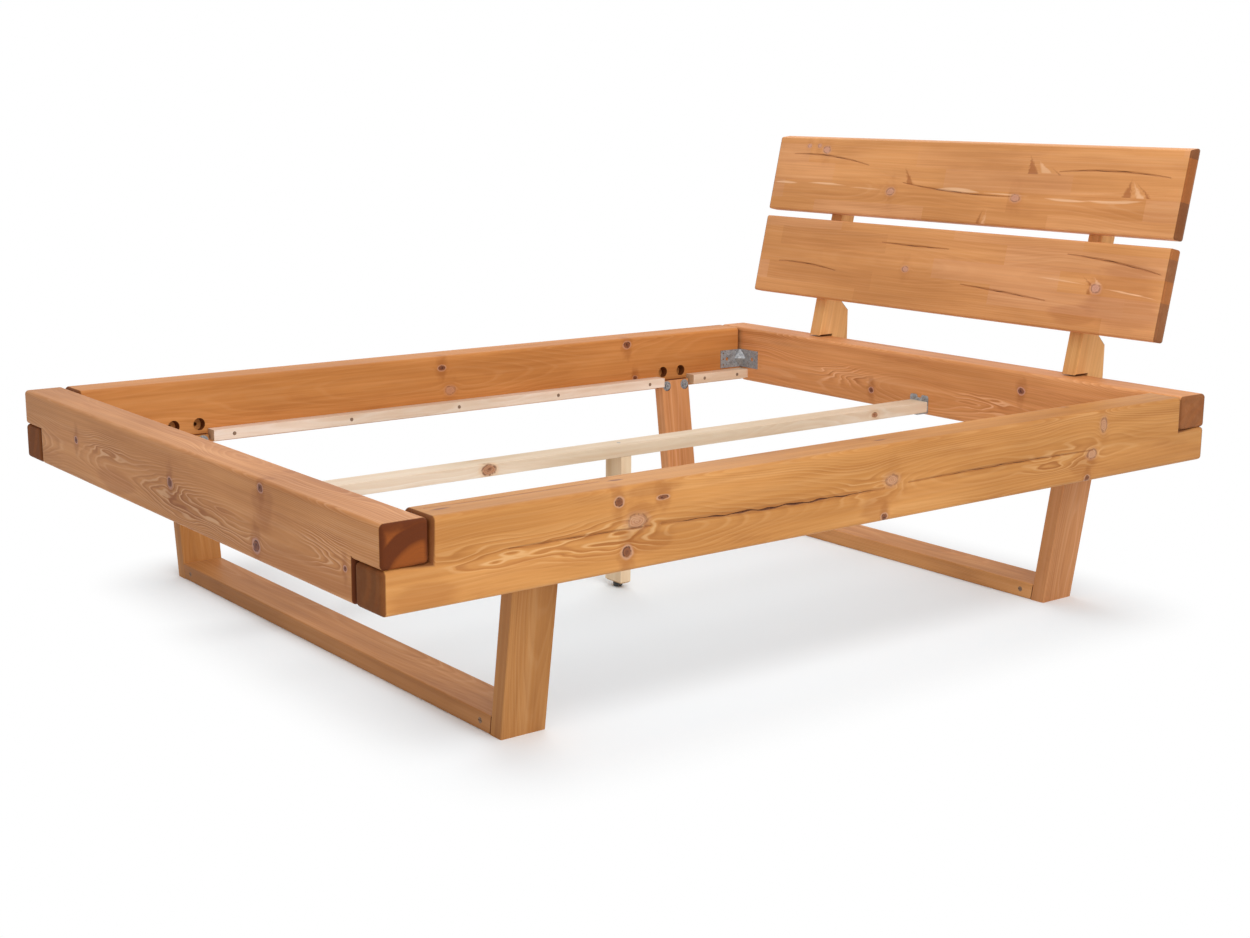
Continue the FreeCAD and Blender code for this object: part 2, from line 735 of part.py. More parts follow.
def beam_hanger(end_name, end):
    name = "beam_hanger_" + end_name
    body = new_body(name)
    shelf_start = beam_inner - s.hanger_shelf_length
    points = [(beam_inner, hanger_bottom), (beam_inner, hanger_top), (hanger_face, hanger_top),
              (hanger_face, centre_beam_bottom), (shelf_start, centre_beam_bottom),
              (shelf_start, hanger_bottom)]
    points = [(across * end, up) for across, up in points]
    width = s.centre_beam_width + s.hanger_overhang * 2
    pad(body, outline(body, name + "_side", "YZ_Plane", points), width, both_ways=True)

    def ear_corner(start, end):
        at_the_top = is_at(start.z, hanger_top) and is_at(end.z, hanger_top)
        return at_the_top and is_at(start.x - end.x, zero)

    soften(body, "Fillet", s.hanger_ear_round, ear_corner)
    low, high = hanger_top - s.hanger_dip_depth, hanger_top
    half_dip = s.hanger_dip_width / 2
    half_mouth = half_dip + s.hanger_dip_depth / 2
    dip = [(-half_dip, low), (half_dip, low), (half_mouth, high), (-half_mouth, high)]
    pocket(body, outline(body, name + "_dip", "XZ_Plane", dip, hanger_face * end),
           s.plate_thickness, "XZ_Plane", end)
    ears = [(half_ear_spacing * side, ear_screw_z) for side in BOTH]
    drill(body, name + "_ear_holes", "XZ_Plane", hanger_face * end, end, ears,
          s.screw_shank + s.screw_clearance, s.plate_thickness + s.overrun)
    drill(body, name + "_shelf_hole", "XY_Plane", hanger_bottom, 1,
          [(zero, shelf_screw_y * end)], s.screw_shank + s.screw_clearance,
          s.plate_thickness + s.overrun)


# The corner brackets: bent steel angles with a rib pressed across the inner corner.

def corner_bracket(end_name, end, side_name, side):
    name = "corner_bracket_%s_%s" % (end_name, side_name)
    body = new_body(name)

    def corner_point(from_rail, from_beam):
        return (rail_inner - from_rail) * side, (beam_inner - from_beam) * end

    leg, thick, rib = s.bracket_leg, s.plate_thickness, s.bracket_rib
    plan = [(zero, zero), (leg, zero), (leg, thick), (thick, thick), (thick, leg), (zero, leg)]
    plan = [corner_point(*point) for point in plan]
    pad(body, outline(body, name + "_plan", "XY_Plane", plan, bracket_bottom), s.bracket_height)
    sections = []
    for place_name, height, reach in (("low", bracket_bottom, s.bracket_rib_tip),
                                      ("middle", bracket_middle, rib),
                                      ("high", bracket_top, s.bracket_rib_tip)):
        triangle = [(thick, thick), (thick + reach, thick), (thick, thick + reach)]
        triangle = [corner_point(*point) for point in triangle]
        sections.append(outline(body, "%s_rib_%s" % (name, place_name), "XY_Plane", triangle,
                                height))
    loft = body.newObject("PartDesign::AdditiveLoft", name + "_rib")
    loft.Profile = sections[0]
    loft.Sections = sections[1:]
    loft.Ruled = True
    doc.recompute()
    reach = s.plate_thickness + s.overrun
    for role, corner, across_way, way in (("XZ_Plane", rail_inner, side, end),
                                          ("YZ_Plane", beam_inner, end, side)):
        face = ((beam_inner, rail_inner)[role == "YZ_Plane"] - thick) * way
        label = "%s_%s" % (name, role[:2].lower())
        drill(body, label + "_screws", role, face, way, bracket_screws(corner, across_way),
              s.screw_shank + s.screw_clearance, reach)
        drill(body, label + "_bolt_hole", role, face, way,
              [((corner - s.bracket_bolt_place) * across_way, bracket_middle)],
              s.bracket_bolt_hole, reach)
        spares = [((corner - s.bracket_spare_place) * across_way,
                   bracket_middle + s.bracket_spare_stagger / 2 * step) for step in (-1, 0, 1)]
        drill(body, label + "_spare_holes", role, face, way, spares, s.bracket_spare_hole,
              reach)


def plate_screws():
    """Screws that hold the corner brackets and the centre beam's hangers."""
    screw = screw_body("plate_screw", s.screw_shank, s.screw_head, s.screw_head_height,
                       s.plate_screw_length)
    places = []
    for end in BOTH:
        for side in BOTH:
            places += [((across, hanger_face * end, height), (0, -end, 0), (1, 0, 0))
                       for across, height in bracket_screws(rail_inner, side)]
            places += [(((rail_inner - s.plate_thickness) * side, across, height),
                        (-side, 0, 0), (0, 1, 0))
                       for across, height in bracket_screws(beam_inner, end)]
    group("bracket_screws", screw, places)
    ears = [((half_ear_spacing * side, hanger_face * end, ear_screw_z), (0, -end, 0), (1, 0, 0))
            for end in BOTH for side in BOTH]
    group("hanger_ear_screws", screw, ears)
    shelf_screw = screw_body("shelf_screw", s.screw_shank, s.screw_head, s.screw_head_height,
                             s.shelf_screw_length)
    group("hanger_shelf_screws", shelf_screw,
          [((zero, shelf_screw_y * end, hanger_bottom), (0, 0, -1), (1, 0, 0))
           for end in BOTH])


# The headboard: two planks screwed from behind to two supports, which stand over the head beam
# and are bolted to its back.

def lean_point(up, back):
    """A (Y, Z) place: up the headboard's front plane from the beam's top, and square behind."""
    y = plank_front_y + up * lean_sine + back * lean_cosine
    z = beam_top + up * lean_cosine - back * lean_sine
    return y, z


def headboard_plank(name, start, bevel=zero):
    """A plank of the headboard, whose top may fall towards its front by a bevel."""
    body = new_body(name)
    points = [(zero, zero), (s.plank_thickness, zero), (s.plank_thickness, s.plank_width),
              (zero, s.plank_width - bevel)]
    pad(body, outline(body, name + "_end", "YZ_Plane", points), s.headboard_width,
        both_ways=True)
    soften(body, "Fillet", s.plank_round, every_edge)
    screws = [(support_x * side, up) for side in BOTH for up in plank_screw_places]
    drill(body, name + "_screws", "XZ_Plane", s.plank_thickness, -1, screws, s.screw_shank,
          s.plank_screw_length - s.arm_depth)
    y, z = lean_point(start, zero)
    place(body, y=y, z=z, turned_about=(-1, 0, 0), angle=s.headboard_lean)


def headboard_support(side_name, side):
    name = "headboard_support_" + side_name
    body = new_body(name)
    block_top = beam_top + s.support_block_rise
    block_bottom = beam_top - s.support_drop
    foot_z = beam_top + s.support_foot_gap
    plank_back_y = plank_front_y + s.plank_thickness / lean_cosine
    foot_y = plank_back_y + s.support_foot_gap * lean_sine / lean_cosine
    block_reach = (support_back_y - plank_back_y) * lean_cosine - s.support_block_rise * lean_sine
    cut = (block_reach - s.arm_depth) / (lean_cosine + lean_sine)
    points = [(foot_y, foot_z), (half_length, foot_z), (half_length, block_bottom),
              (support_back_y, block_bottom), (support_back_y, block_top),
              (support_back_y - cut, block_top + cut),
              lean_point(arm_end, arm_back), lean_point(arm_end, s.plank_thickness)]
    pad(body, outline(body, name + "_side", "YZ_Plane", points), s.support_thickness,
        both_ways=True)
    half = s.support_thickness / 2

    def on_a_side(start, end):
        return is_at(start.x, half) and is_at(end.x, half) and is_at(start.x - end.x, zero)

    soften(body, "Fillet", s.support_round, on_a_side)
    drill(body, name + "_bolt_holes", "XZ_Plane", support_back_y, -1,
          [(zero, height) for height in support_bolt_heights],
          s.support_bolt_shank + s.bolt_clearance, s.support_block_depth + s.overrun)
    tilt = right_angle - s.headboard_lean
    for number, (start, up) in enumerate(((start, up)
                                          for start in (lower_plank_start, upper_plank_start)
                                          for up in plank_screw_places), start=1):
        y, z = lean_point(start + up, arm_back + s.overrun)
        for kind, diameter, depth in (
                ("sink", s.screw_head + s.screw_clearance, s.screw_head_height),
                ("hole", s.screw_shank + s.screw_clearance, s.arm_depth + s.overrun)):
            bore(body, "%s_%s_%d" % (name, kind, number), (zero, y, z), (1, 0, 0), tilt,
                 diameter, s.overrun + depth)
    place(body, x=support_x * side)


def headboard_fixings():
    plank_screw = screw_body("plank_screw", s.screw_shank, s.screw_head, s.screw_head_height,
                             s.plank_screw_length - s.screw_head_height)
    outward = (0, lean_cosine.value, -lean_sine.value)
    places = []
    for side in BOTH:
        for start in (lower_plank_start, upper_plank_start):
            for up in plank_screw_places:
                y, z = lean_point(start + up, arm_back - s.screw_head_height)
                places.append(((support_x * side, y, z), outward, (1, 0, 0)))
    group("plank_screws", plank_screw, places)

    bolt = new_body("support_bolt", is_subpart=False)
    pad(bolt, hexagon(bolt, "support_bolt_hex", s.support_bolt_head), s.support_bolt_head_height)
    radius = s.support_bolt_shank / 2
    tip = -s.support_bolt_length - s.support_washer_thickness
    spin(bolt, "support_bolt_half",
         [(zero, zero), (radius, zero), (radius, tip + s.screw_tip_length), (radius / 4, tip),
          (zero, tip)])
    washer = washer_body("support_washer", s.support_washer_diameter,
                         s.support_bolt_shank + s.bolt_clearance, s.support_washer_thickness)
    spots = [(support_x * side, height) for side in BOTH for height in support_bolt_heights]
    group("support_bolts", bolt,
          [((x, support_back_y + s.support_washer_thickness, z), (0, 1, 0), (1, 0, 0))
           for x, z in spots])
    group("support_washers", washer,
          [((x, support_back_y, z), (0, 1, 0), (1, 0, 0)) for x, z in spots])


for end_name, end in ENDS:
    cross_beam(end_name, end)
for side_name, side in SIDES:
    side_rail(side_name, side)
for end_name, end in ENDS:
    sled_runner(end_name, end)
    for side_name, side in SIDES:
        sled_post(end_name, end, side_name, side)
sled_fittings()
cleats()
centre_beam()
centre_leg()
centre_glide()
for end_name, end in ENDS:
    beam_hanger(end_name, end)
    for side_name, side in SIDES:
        corner_bracket(end_name, end, side_name, side)
plate_screws()
headboard_plank("headboard_plank_lower", lower_plank_start)
headboard_plank("headboard_plank_upper", upper_plank_start, s.plank_top_bevel)
for side_name, side in SIDES:
    headboard_support(side_name, side)
headboard_fixings()

doc.recompute()
for thing in doc.Objects:
    if "Invalid" in thing.State or "Error" in thing.State:
        raise ValueError("%s failed to build" % thing.Name)
for subpart in subparts:
    if subpart.Shape.isNull() or not subpart.Shape.isValid() or not subpart.Shape.Solids:
        raise ValueError("%s has no sound solid" % subpart.Label)

os.makedirs("parts", exist_ok=True)
for subpart in subparts:
    subpart.Shape.exportStep("parts/%s.step" % subpart.Label)
    print(subpart.Label, len(subpart.Shape.Solids), "solids, volume",
          round(subpart.Shape.Volume))
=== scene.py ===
import json
import math
from collections import namedtuple
from collections.abc import Sequence
from dataclasses import dataclass

import bmesh
import bpy
from mathutils import Matrix, Vector


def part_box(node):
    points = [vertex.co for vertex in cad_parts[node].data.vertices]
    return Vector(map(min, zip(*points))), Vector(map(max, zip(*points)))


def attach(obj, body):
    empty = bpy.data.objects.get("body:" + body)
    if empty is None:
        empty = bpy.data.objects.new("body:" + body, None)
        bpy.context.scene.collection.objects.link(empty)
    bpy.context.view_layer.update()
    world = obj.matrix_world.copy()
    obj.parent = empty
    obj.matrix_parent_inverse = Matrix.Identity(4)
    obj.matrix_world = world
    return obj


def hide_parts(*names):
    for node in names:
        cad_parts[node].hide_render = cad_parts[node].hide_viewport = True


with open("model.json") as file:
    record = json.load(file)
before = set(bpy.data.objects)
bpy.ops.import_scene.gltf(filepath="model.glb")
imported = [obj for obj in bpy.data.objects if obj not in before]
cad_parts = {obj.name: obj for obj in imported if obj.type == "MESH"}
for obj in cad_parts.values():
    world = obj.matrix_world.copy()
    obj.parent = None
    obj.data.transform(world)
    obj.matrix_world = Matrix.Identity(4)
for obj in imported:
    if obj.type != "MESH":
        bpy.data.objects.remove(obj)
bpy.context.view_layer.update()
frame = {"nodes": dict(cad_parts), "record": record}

bl_info = {
    "name": "Pine sled bed",
    "version": (1, 0, 0),
    "blender": (4, 5, 0),
    "location": "View3D > Sidebar > Bed",
    "description": "Dresses a low pine bed on sled legs and sets it on a pale floor",
    "category": "Object",
}

# The headboard's lean, and the sled posts' lean of 45 mm in 309, both from the upright.
HEADBOARD_LEAN = math.radians(12.3)
POST_LEAN = math.atan(45 / 309)

X_AXIS = Vector((1, 0, 0))
Y_AXIS = Vector((0, 1, 0))
Z_AXIS = Vector((0, 0, 1))
UP_HEADBOARD = Vector((0, math.sin(HEADBOARD_LEAN), math.cos(HEADBOARD_LEAN)))

# A knot lies on a board's front, at a place from the board's middle. Its radius is measured
# across the grain, and stretch is how many times longer it is along it.
Knot = namedtuple("Knot", "along across radius stretch")
# A drying crack, a fleck or a mark runs from one place to another and bows sideways between.
Line = namedtuple("Line", "start end bow width")
# An oval of these half sizes: the saw skims the rings there, or the oil has left a stain.
Patch = namedtuple("Patch", "along across half_length half_height")
# How strongly the flame, halo, body, rim and heart of a knot are painted, by its kind.
KnotPaint = namedtuple("KnotPaint", "flame halo body rim heart")
KNOT_PAINTS = {"dark": KnotPaint(0.45, 0.55, 0.85, 0.8, 0.9),
               "pale": KnotPaint(0.15, 0.2, 0.6, 0.4, 0.1)}

# Corners of a CAD mesh that lie closer together than this are one corner.
SAME_PLACE = 1e-6
# Faces that meet at more than this angle keep a sharp edge.
SHARP = math.radians(30)
WHITE = (1, 1, 1, 1)
# Side of the square floor, and how far the camera sees.
FLOOR_SIZE = 60
VIEW_REACH = 200
# Each lamp's name, which is also its strength's in the stage's values, its size and place.
LAMPS = (("key", 3.2, (3.4, -0.8, 4.2)), ("back", 3.6, (-2.5, 2.0, 4.5)),
         ("fill", 2.4, (5.0, -1.5, 1.4)))
LAMPS_FACE = (0, 0, 0.4)

# What kind of number a property holds: a share, a lamp's power or an angle.
SHARE = {"min": 0, "max": 1, "subtype": "FACTOR"}
POWER = {"min": 0, "subtype": "POWER", "unit": "POWER"}
ANGLE = {"subtype": "ANGLE", "unit": "ROTATION"}


def screen(red, green, blue):
    """A colour as a screen shows it, 0 to 255, as the linear colour of a shader, by sRGB."""
    linear = []
    for part in (red, green, blue):
        share = part / 255
        linear.append(share / 12.92 if share <= 0.04045 else ((share + 0.055) / 1.055) ** 2.4)
    return (*linear, 1)


# Pits in the zinc, and the lighter grain of the moulded glide.
PIT = screen(70, 70, 72)
GLIDE_GRAIN = screen(70, 68, 66)


def colour_property(name, description, colour):
    return bpy.props.FloatVectorProperty(name=name, description=description, subtype="COLOR",
                                         size=4, min=0, max=1, default=screen(*colour))


def number_property(name, description, number, **settings):
    return bpy.props.FloatProperty(name=name, description=description, default=number, **settings)


def range_property(name, description, ends):
    return bpy.props.FloatVectorProperty(name=name, description=description, size=2,
                                         default=ends, unit="LENGTH")


class BED_PG_pine(bpy.types.PropertyGroup):
    """Oiled pine, as on the beams, the sled legs and the headboard."""

    wood: colour_property("Wood", "Oiled pine between the grain lines", (208, 146, 76))
    late: colour_property("Grain line", "Dark late wood of each year's ring", (150, 84, 34))
    pale: colour_property("Pale line", "Pale early wood that the oil leaves bright",
                          (230, 184, 122))
    end_grain: colour_property("End grain", "Sawn ends, which soak up more oil", (98, 46, 16))
    end_light: colour_property("Light end grain", "Drier patches of the sawn ends",
                               (142, 74, 27))
    knot: colour_property("Knot", "Body of a knot", (146, 92, 62))
    knot_heart: colour_property("Knot's heart", "Dark heart and rim of a knot", (70, 42, 36))
    knot_halo: colour_property("Knot's halo", "Pale dense wood round a knot", (212, 168, 134))
    # The inside of a crack: its own torn colour, darkened further as painted shade of the crack's
    # depth.
    crack: colour_property("Crack", "Inside of a drying crack", (98, 54, 28))
    roughness: number_property("Roughness", "Sheen of the oiled wood", 0.5, **SHARE)


class BED_PG_raw_pine(bpy.types.PropertyGroup):
    """Bare planed pine, as on the cleats, the centre beam and its leg."""

    wood: colour_property("Wood", "Bare pine between the grain lines", (230, 206, 174))
    late: colour_property("Grain line", "Late wood of each year's ring", (212, 174, 134))
    pale: colour_property("Pale line", "Early wood", (238, 222, 198))
    end_grain: colour_property("End grain", "Sawn ends", (204, 168, 130))
    end_light: colour_property("Light end grain", "Drier patches of the sawn ends",
                               (222, 192, 156))
    knot: colour_property("Knot", "Body of a knot", (182, 112, 66))
    knot_heart: colour_property("Knot's heart", "Dark heart and rim of a knot", (112, 62, 38))
    knot_halo: colour_property("Knot's halo", "Dense wood round a knot", (226, 182, 136))
    # The inside of a crack: its own torn colour, darkened further as painted shade of the crack's
    # depth.
    crack: colour_property("Crack", "Inside of a drying crack", (120, 84, 56))
    roughness: number_property("Roughness", "Sheen of the bare wood", 0.62, **SHARE)


class BED_PG_fittings(bpy.types.PropertyGroup):
    """Galvanised steel and the moulded glide."""

    steel: colour_property("Steel", "Galvanised brackets and hangers", (188, 190, 192))
    spangle: colour_property("Spangle", "Darker crystals in the zinc", (138, 141, 145))
    fastener: colour_property("Fastener", "Zinc-plated screws and bolts", (176, 173, 171))
    dull: colour_property("Dull fastener", "Screws of the cleats and cams of the runners",
                          (150, 122, 100))
    glide: colour_property("Glide", "Moulded foot of the centre leg", (44, 42, 40))


class BED_PG_stage(bpy.types.PropertyGroup):
    """Floor, lamps and camera."""

    floor: colour_property("Floor", "Pale floor", (240, 246, 250))
    sky: number_property("Sky", "Strength of the even light all round", 0.52, min=0, max=5)
    key: number_property("Key lamp", "Large soft lamp, upper right", 118, **POWER)
    back: number_property("Back lamp", "Soft lamp over the far side, for the shadow", 80, **POWER)
    fill: number_property("Fill lamp", "Soft low lamp on the right", 50, **POWER)
    shadow_x: range_property("Shadow across", "Shadow on the floor, left to right",
                             (-0.2, 0.76))
    shadow_y: range_property("Shadow along", "Shadow on the floor, foot to head", (-0.78, 0.74))
    foot_shadow_x: range_property("Foot shadow across", "Shadow of the foot's sled leg",
                                  (-0.64, 0.62))
    foot_shadow_y: range_property("Foot shadow along", "Shadow of the foot's sled leg",
                                  (-0.74, -0.68))
    shadow_fade: number_property("Fade", "Width of the shadow's edge", 0.3, min=0.01,
                                 unit="LENGTH")
    camera: bpy.props.FloatVectorProperty(name="Camera", description="Place of the camera",
                                          size=3, default=(3.2314, -2.4740, 1.1357),
                                          subtype="TRANSLATION", unit="LENGTH")
    yaw: number_property("Yaw", "Turn of the camera to the left", 0.91362, **ANGLE)
    pitch: number_property("Pitch", "Tilt of the camera upwards", -0.20665, **ANGLE)
    roll: number_property("Roll", "Turn about the view's own axis", 0.00631, **ANGLE)
    lens: number_property("Lens", "Focal length on a 36 mm frame", 51.27, min=1,
                          subtype="DISTANCE_CAMERA")


class Value:
    """A number in a material: Python's operators on it add Math nodes."""

    def __init__(self, recipe, socket):
        self.recipe = recipe
        self.socket = socket

    def math(self, operation, *terms):
        made = self.recipe.node("ShaderNodeMath", {"operation": operation}, dict(enumerate(terms)))
        return Value(self.recipe, made.outputs[0])

    def __add__(self, other):
        return self.math("ADD", self, other)

    def __radd__(self, other):
        return self.math("ADD", other, self)

    def __sub__(self, other):
        return self.math("SUBTRACT", self, other)

    def __rsub__(self, other):
        return self.math("SUBTRACT", other, self)

    def __mul__(self, other):
        return self.math("MULTIPLY", self, other)

    def __truediv__(self, other):
        return self.math("DIVIDE", self, other)

    def __abs__(self):
        return self.math("ABSOLUTE", self)

    def root(self):
        return self.math("SQRT", self)

    def floor(self):
        return self.math("FLOOR", self)

    def fraction(self):
        return self.math("FRACT", self)

    def least(self, other):
        return self.math("MINIMUM", self, other)

    def most(self, other):
        return self.math("MAXIMUM", self, other)

    def ranged(self, low, high, course):
        made = self.recipe.node("ShaderNodeMapRange", {"interpolation_type": course},
                                {"Value": self, "From Min": low, "From Max": high})
        return Value(self.recipe, made.outputs[0])

    def smooth(self, low, high):
        """Ease from 0 at low to 1 at high, whichever of the two is larger."""
        return self.ranged(low, high, "SMOOTHSTEP")

    def even(self, low, high):
        """Run evenly from 0 at low to 1 at high."""
        return self.ranged(low, high, "LINEAR")


class Recipe:
    """The nodes of a material, or of the world, in the making."""

    def __init__(self, owner):
        self.owner = owner
        owner.use_nodes = True
        self.tree = owner.node_tree
        self.tree.nodes.clear()

    def node(self, kind, settings=None, inputs=None):
        """Add a node: its settings first, then a value or a link for each of its sockets."""
        made = self.tree.nodes.new(kind)
        for name, setting in (settings or {}).items():
            setattr(made, name, setting)
        for key, given in (inputs or {}).items():
            if isinstance(given, Value):
                given = given.socket
            if isinstance(given, bpy.types.NodeSocket):
                self.tree.links.new(made.inputs[key], given)
            else:
                made.inputs[key].default_value = given
        return made

    def vector(self, operation, *terms):
        return self.node("ShaderNodeVectorMath", {"operation": operation},
                         dict(enumerate(terms))).outputs

    def object_place(self, centre=(0, 0, 0), turn=(0, 0, 0)):
        """Places measured in a frame of their own, with its centre and its turn."""
        coordinates = self.node("ShaderNodeTexCoord")
        return self.node("ShaderNodeMapping", {"vector_type": "TEXTURE"},
                         {"Vector": coordinates.outputs["Object"], "Location": centre,
                          "Rotation": turn}).outputs[0]

    def split(self, place):
        made = self.node("ShaderNodeSeparateXYZ", None, {0: place})
        return [Value(self, socket) for socket in made.outputs]

    def stretch(self, place, scale):
        return self.vector("MULTIPLY", place, scale)[0]

    def noise(self, place, scale=1, detail=2, roughness=0.5):
        made = self.node("ShaderNodeTexNoise", None,
                         {"Vector": place, "Scale": scale, "Detail": detail,
                          "Roughness": roughness})
        return Value(self, made.outputs[0])

    def noise_along(self, value, detail=1):
        """Noise that changes with one number alone."""
        made = self.node("ShaderNodeTexNoise", {"noise_dimensions": "1D"},
                         {"W": value, "Scale": 1, "Detail": detail})
        return Value(self, made.outputs[0])

    def hash_of(self, value):
        """A random number between 0 and 1 for each whole number."""
        made = self.node("ShaderNodeTexWhiteNoise", {"noise_dimensions": "1D"}, {"W": value})
        return Value(self, made.outputs[0])

    def mix(self, factor, first, second, blend="MIX"):
        """Mix two colours."""
        return self.node("ShaderNodeMix", {"data_type": "RGBA", "blend_type": blend},
                         {0: factor, 6: first, 7: second}).outputs[2]

    def facing(self, axis):
        """How squarely the surface faces along an axis, either way round: 1 is squarely."""
        normal = self.node("ShaderNodeNewGeometry").outputs["Normal"]
        return abs(Value(self, self.vector("DOT_PRODUCT", normal, axis)["Value"]))

    def bump(self, height, distance, strength=1):
        """A bump from a height between 0 and 1, with its real depth in metres."""
        return self.node("ShaderNodeBump", None,
                         {"Height": height, "Distance": distance,
                          "Strength": strength}).outputs[0]

    def finish(self, sockets):
        """Close the material with one Principled shader."""
        shader = self.node("ShaderNodeBsdfPrincipled", None, sockets)
        self.node("ShaderNodeOutputMaterial", None, {"Surface": shader.outputs[0]})
        return self.owner

    def seen_directly(self):
        """1 for what the camera sees, also through glass or in a mirror, and 0 for light."""
        path = self.node("ShaderNodeLightPath").outputs
        seen = Value(self, path["Is Camera Ray"])
        seen = seen.most(Value(self, path["Is Glossy Ray"]))
        return seen.most(Value(self, path["Is Transmission Ray"]))


@dataclass
class Board:
    """A piece of pine: where it lies, how its grain runs, and what marks its front.

    Its own frame has its first axis along the grain, its second across its front and its
    third out of its front. Places and sizes on it are in metres from its middle.
    """

    node: str
    along: Vector
    across: Vector
    # The rings' middle, across and out, the width of a ring, and how far the middle strays.
    pith: tuple = (0.0, -0.09)
    ring: float = 0.003
    wander: float = 0.03
    # A number that gives each board other noise; its tint, which for some boards also holds
    # painted light and shade, lighter or darker for how light falls on them; and how strong
    # its figure is.
    seed: float = 0.0
    tint_and_painted_light: tuple = (1.0, 1.0, 1.0)
    figure: float = 0.25
    # Knots and ovals on the front, which the back has too, mirrored.
    knots: Sequence = ()
    pale_knots: Sequence = ()
    swirls: Sequence = ()
    stains: Sequence = ()
    # Lines on the front: flecks run with the grain, the brown and pale marks across it.
    cracks: Sequence = ()
    flecks: Sequence = ()
    brown_marks: Sequence = ()
    pale_marks: Sequence = ()
    # Cracks and brown ovals on the upper edge.
    top_cracks: Sequence = ()
    top_marks: Sequence = ()
    # Height of the blocks that a plank is glued up from, or none.
    stave: float = 0.0
    # How strongly the sawn ends are coloured, and how much of them is drier and lighter.
    oiled_ends: float = 1.0
    dry_ends: float = 0.35

    def __post_init__(self):
        low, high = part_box(self.node)
        self.centre = (low + high) / 2
        self.out = self.along.cross(self.across)
        self.axes = Matrix((self.along, self.across, self.out)).transposed()
        corners = [corner.co - self.centre for corner in frame["nodes"][self.node].data.vertices]
        self.half_height = max(self.across.dot(corner) for corner in corners)
        self.half_depth = max(self.out.dot(corner) for corner in corners)


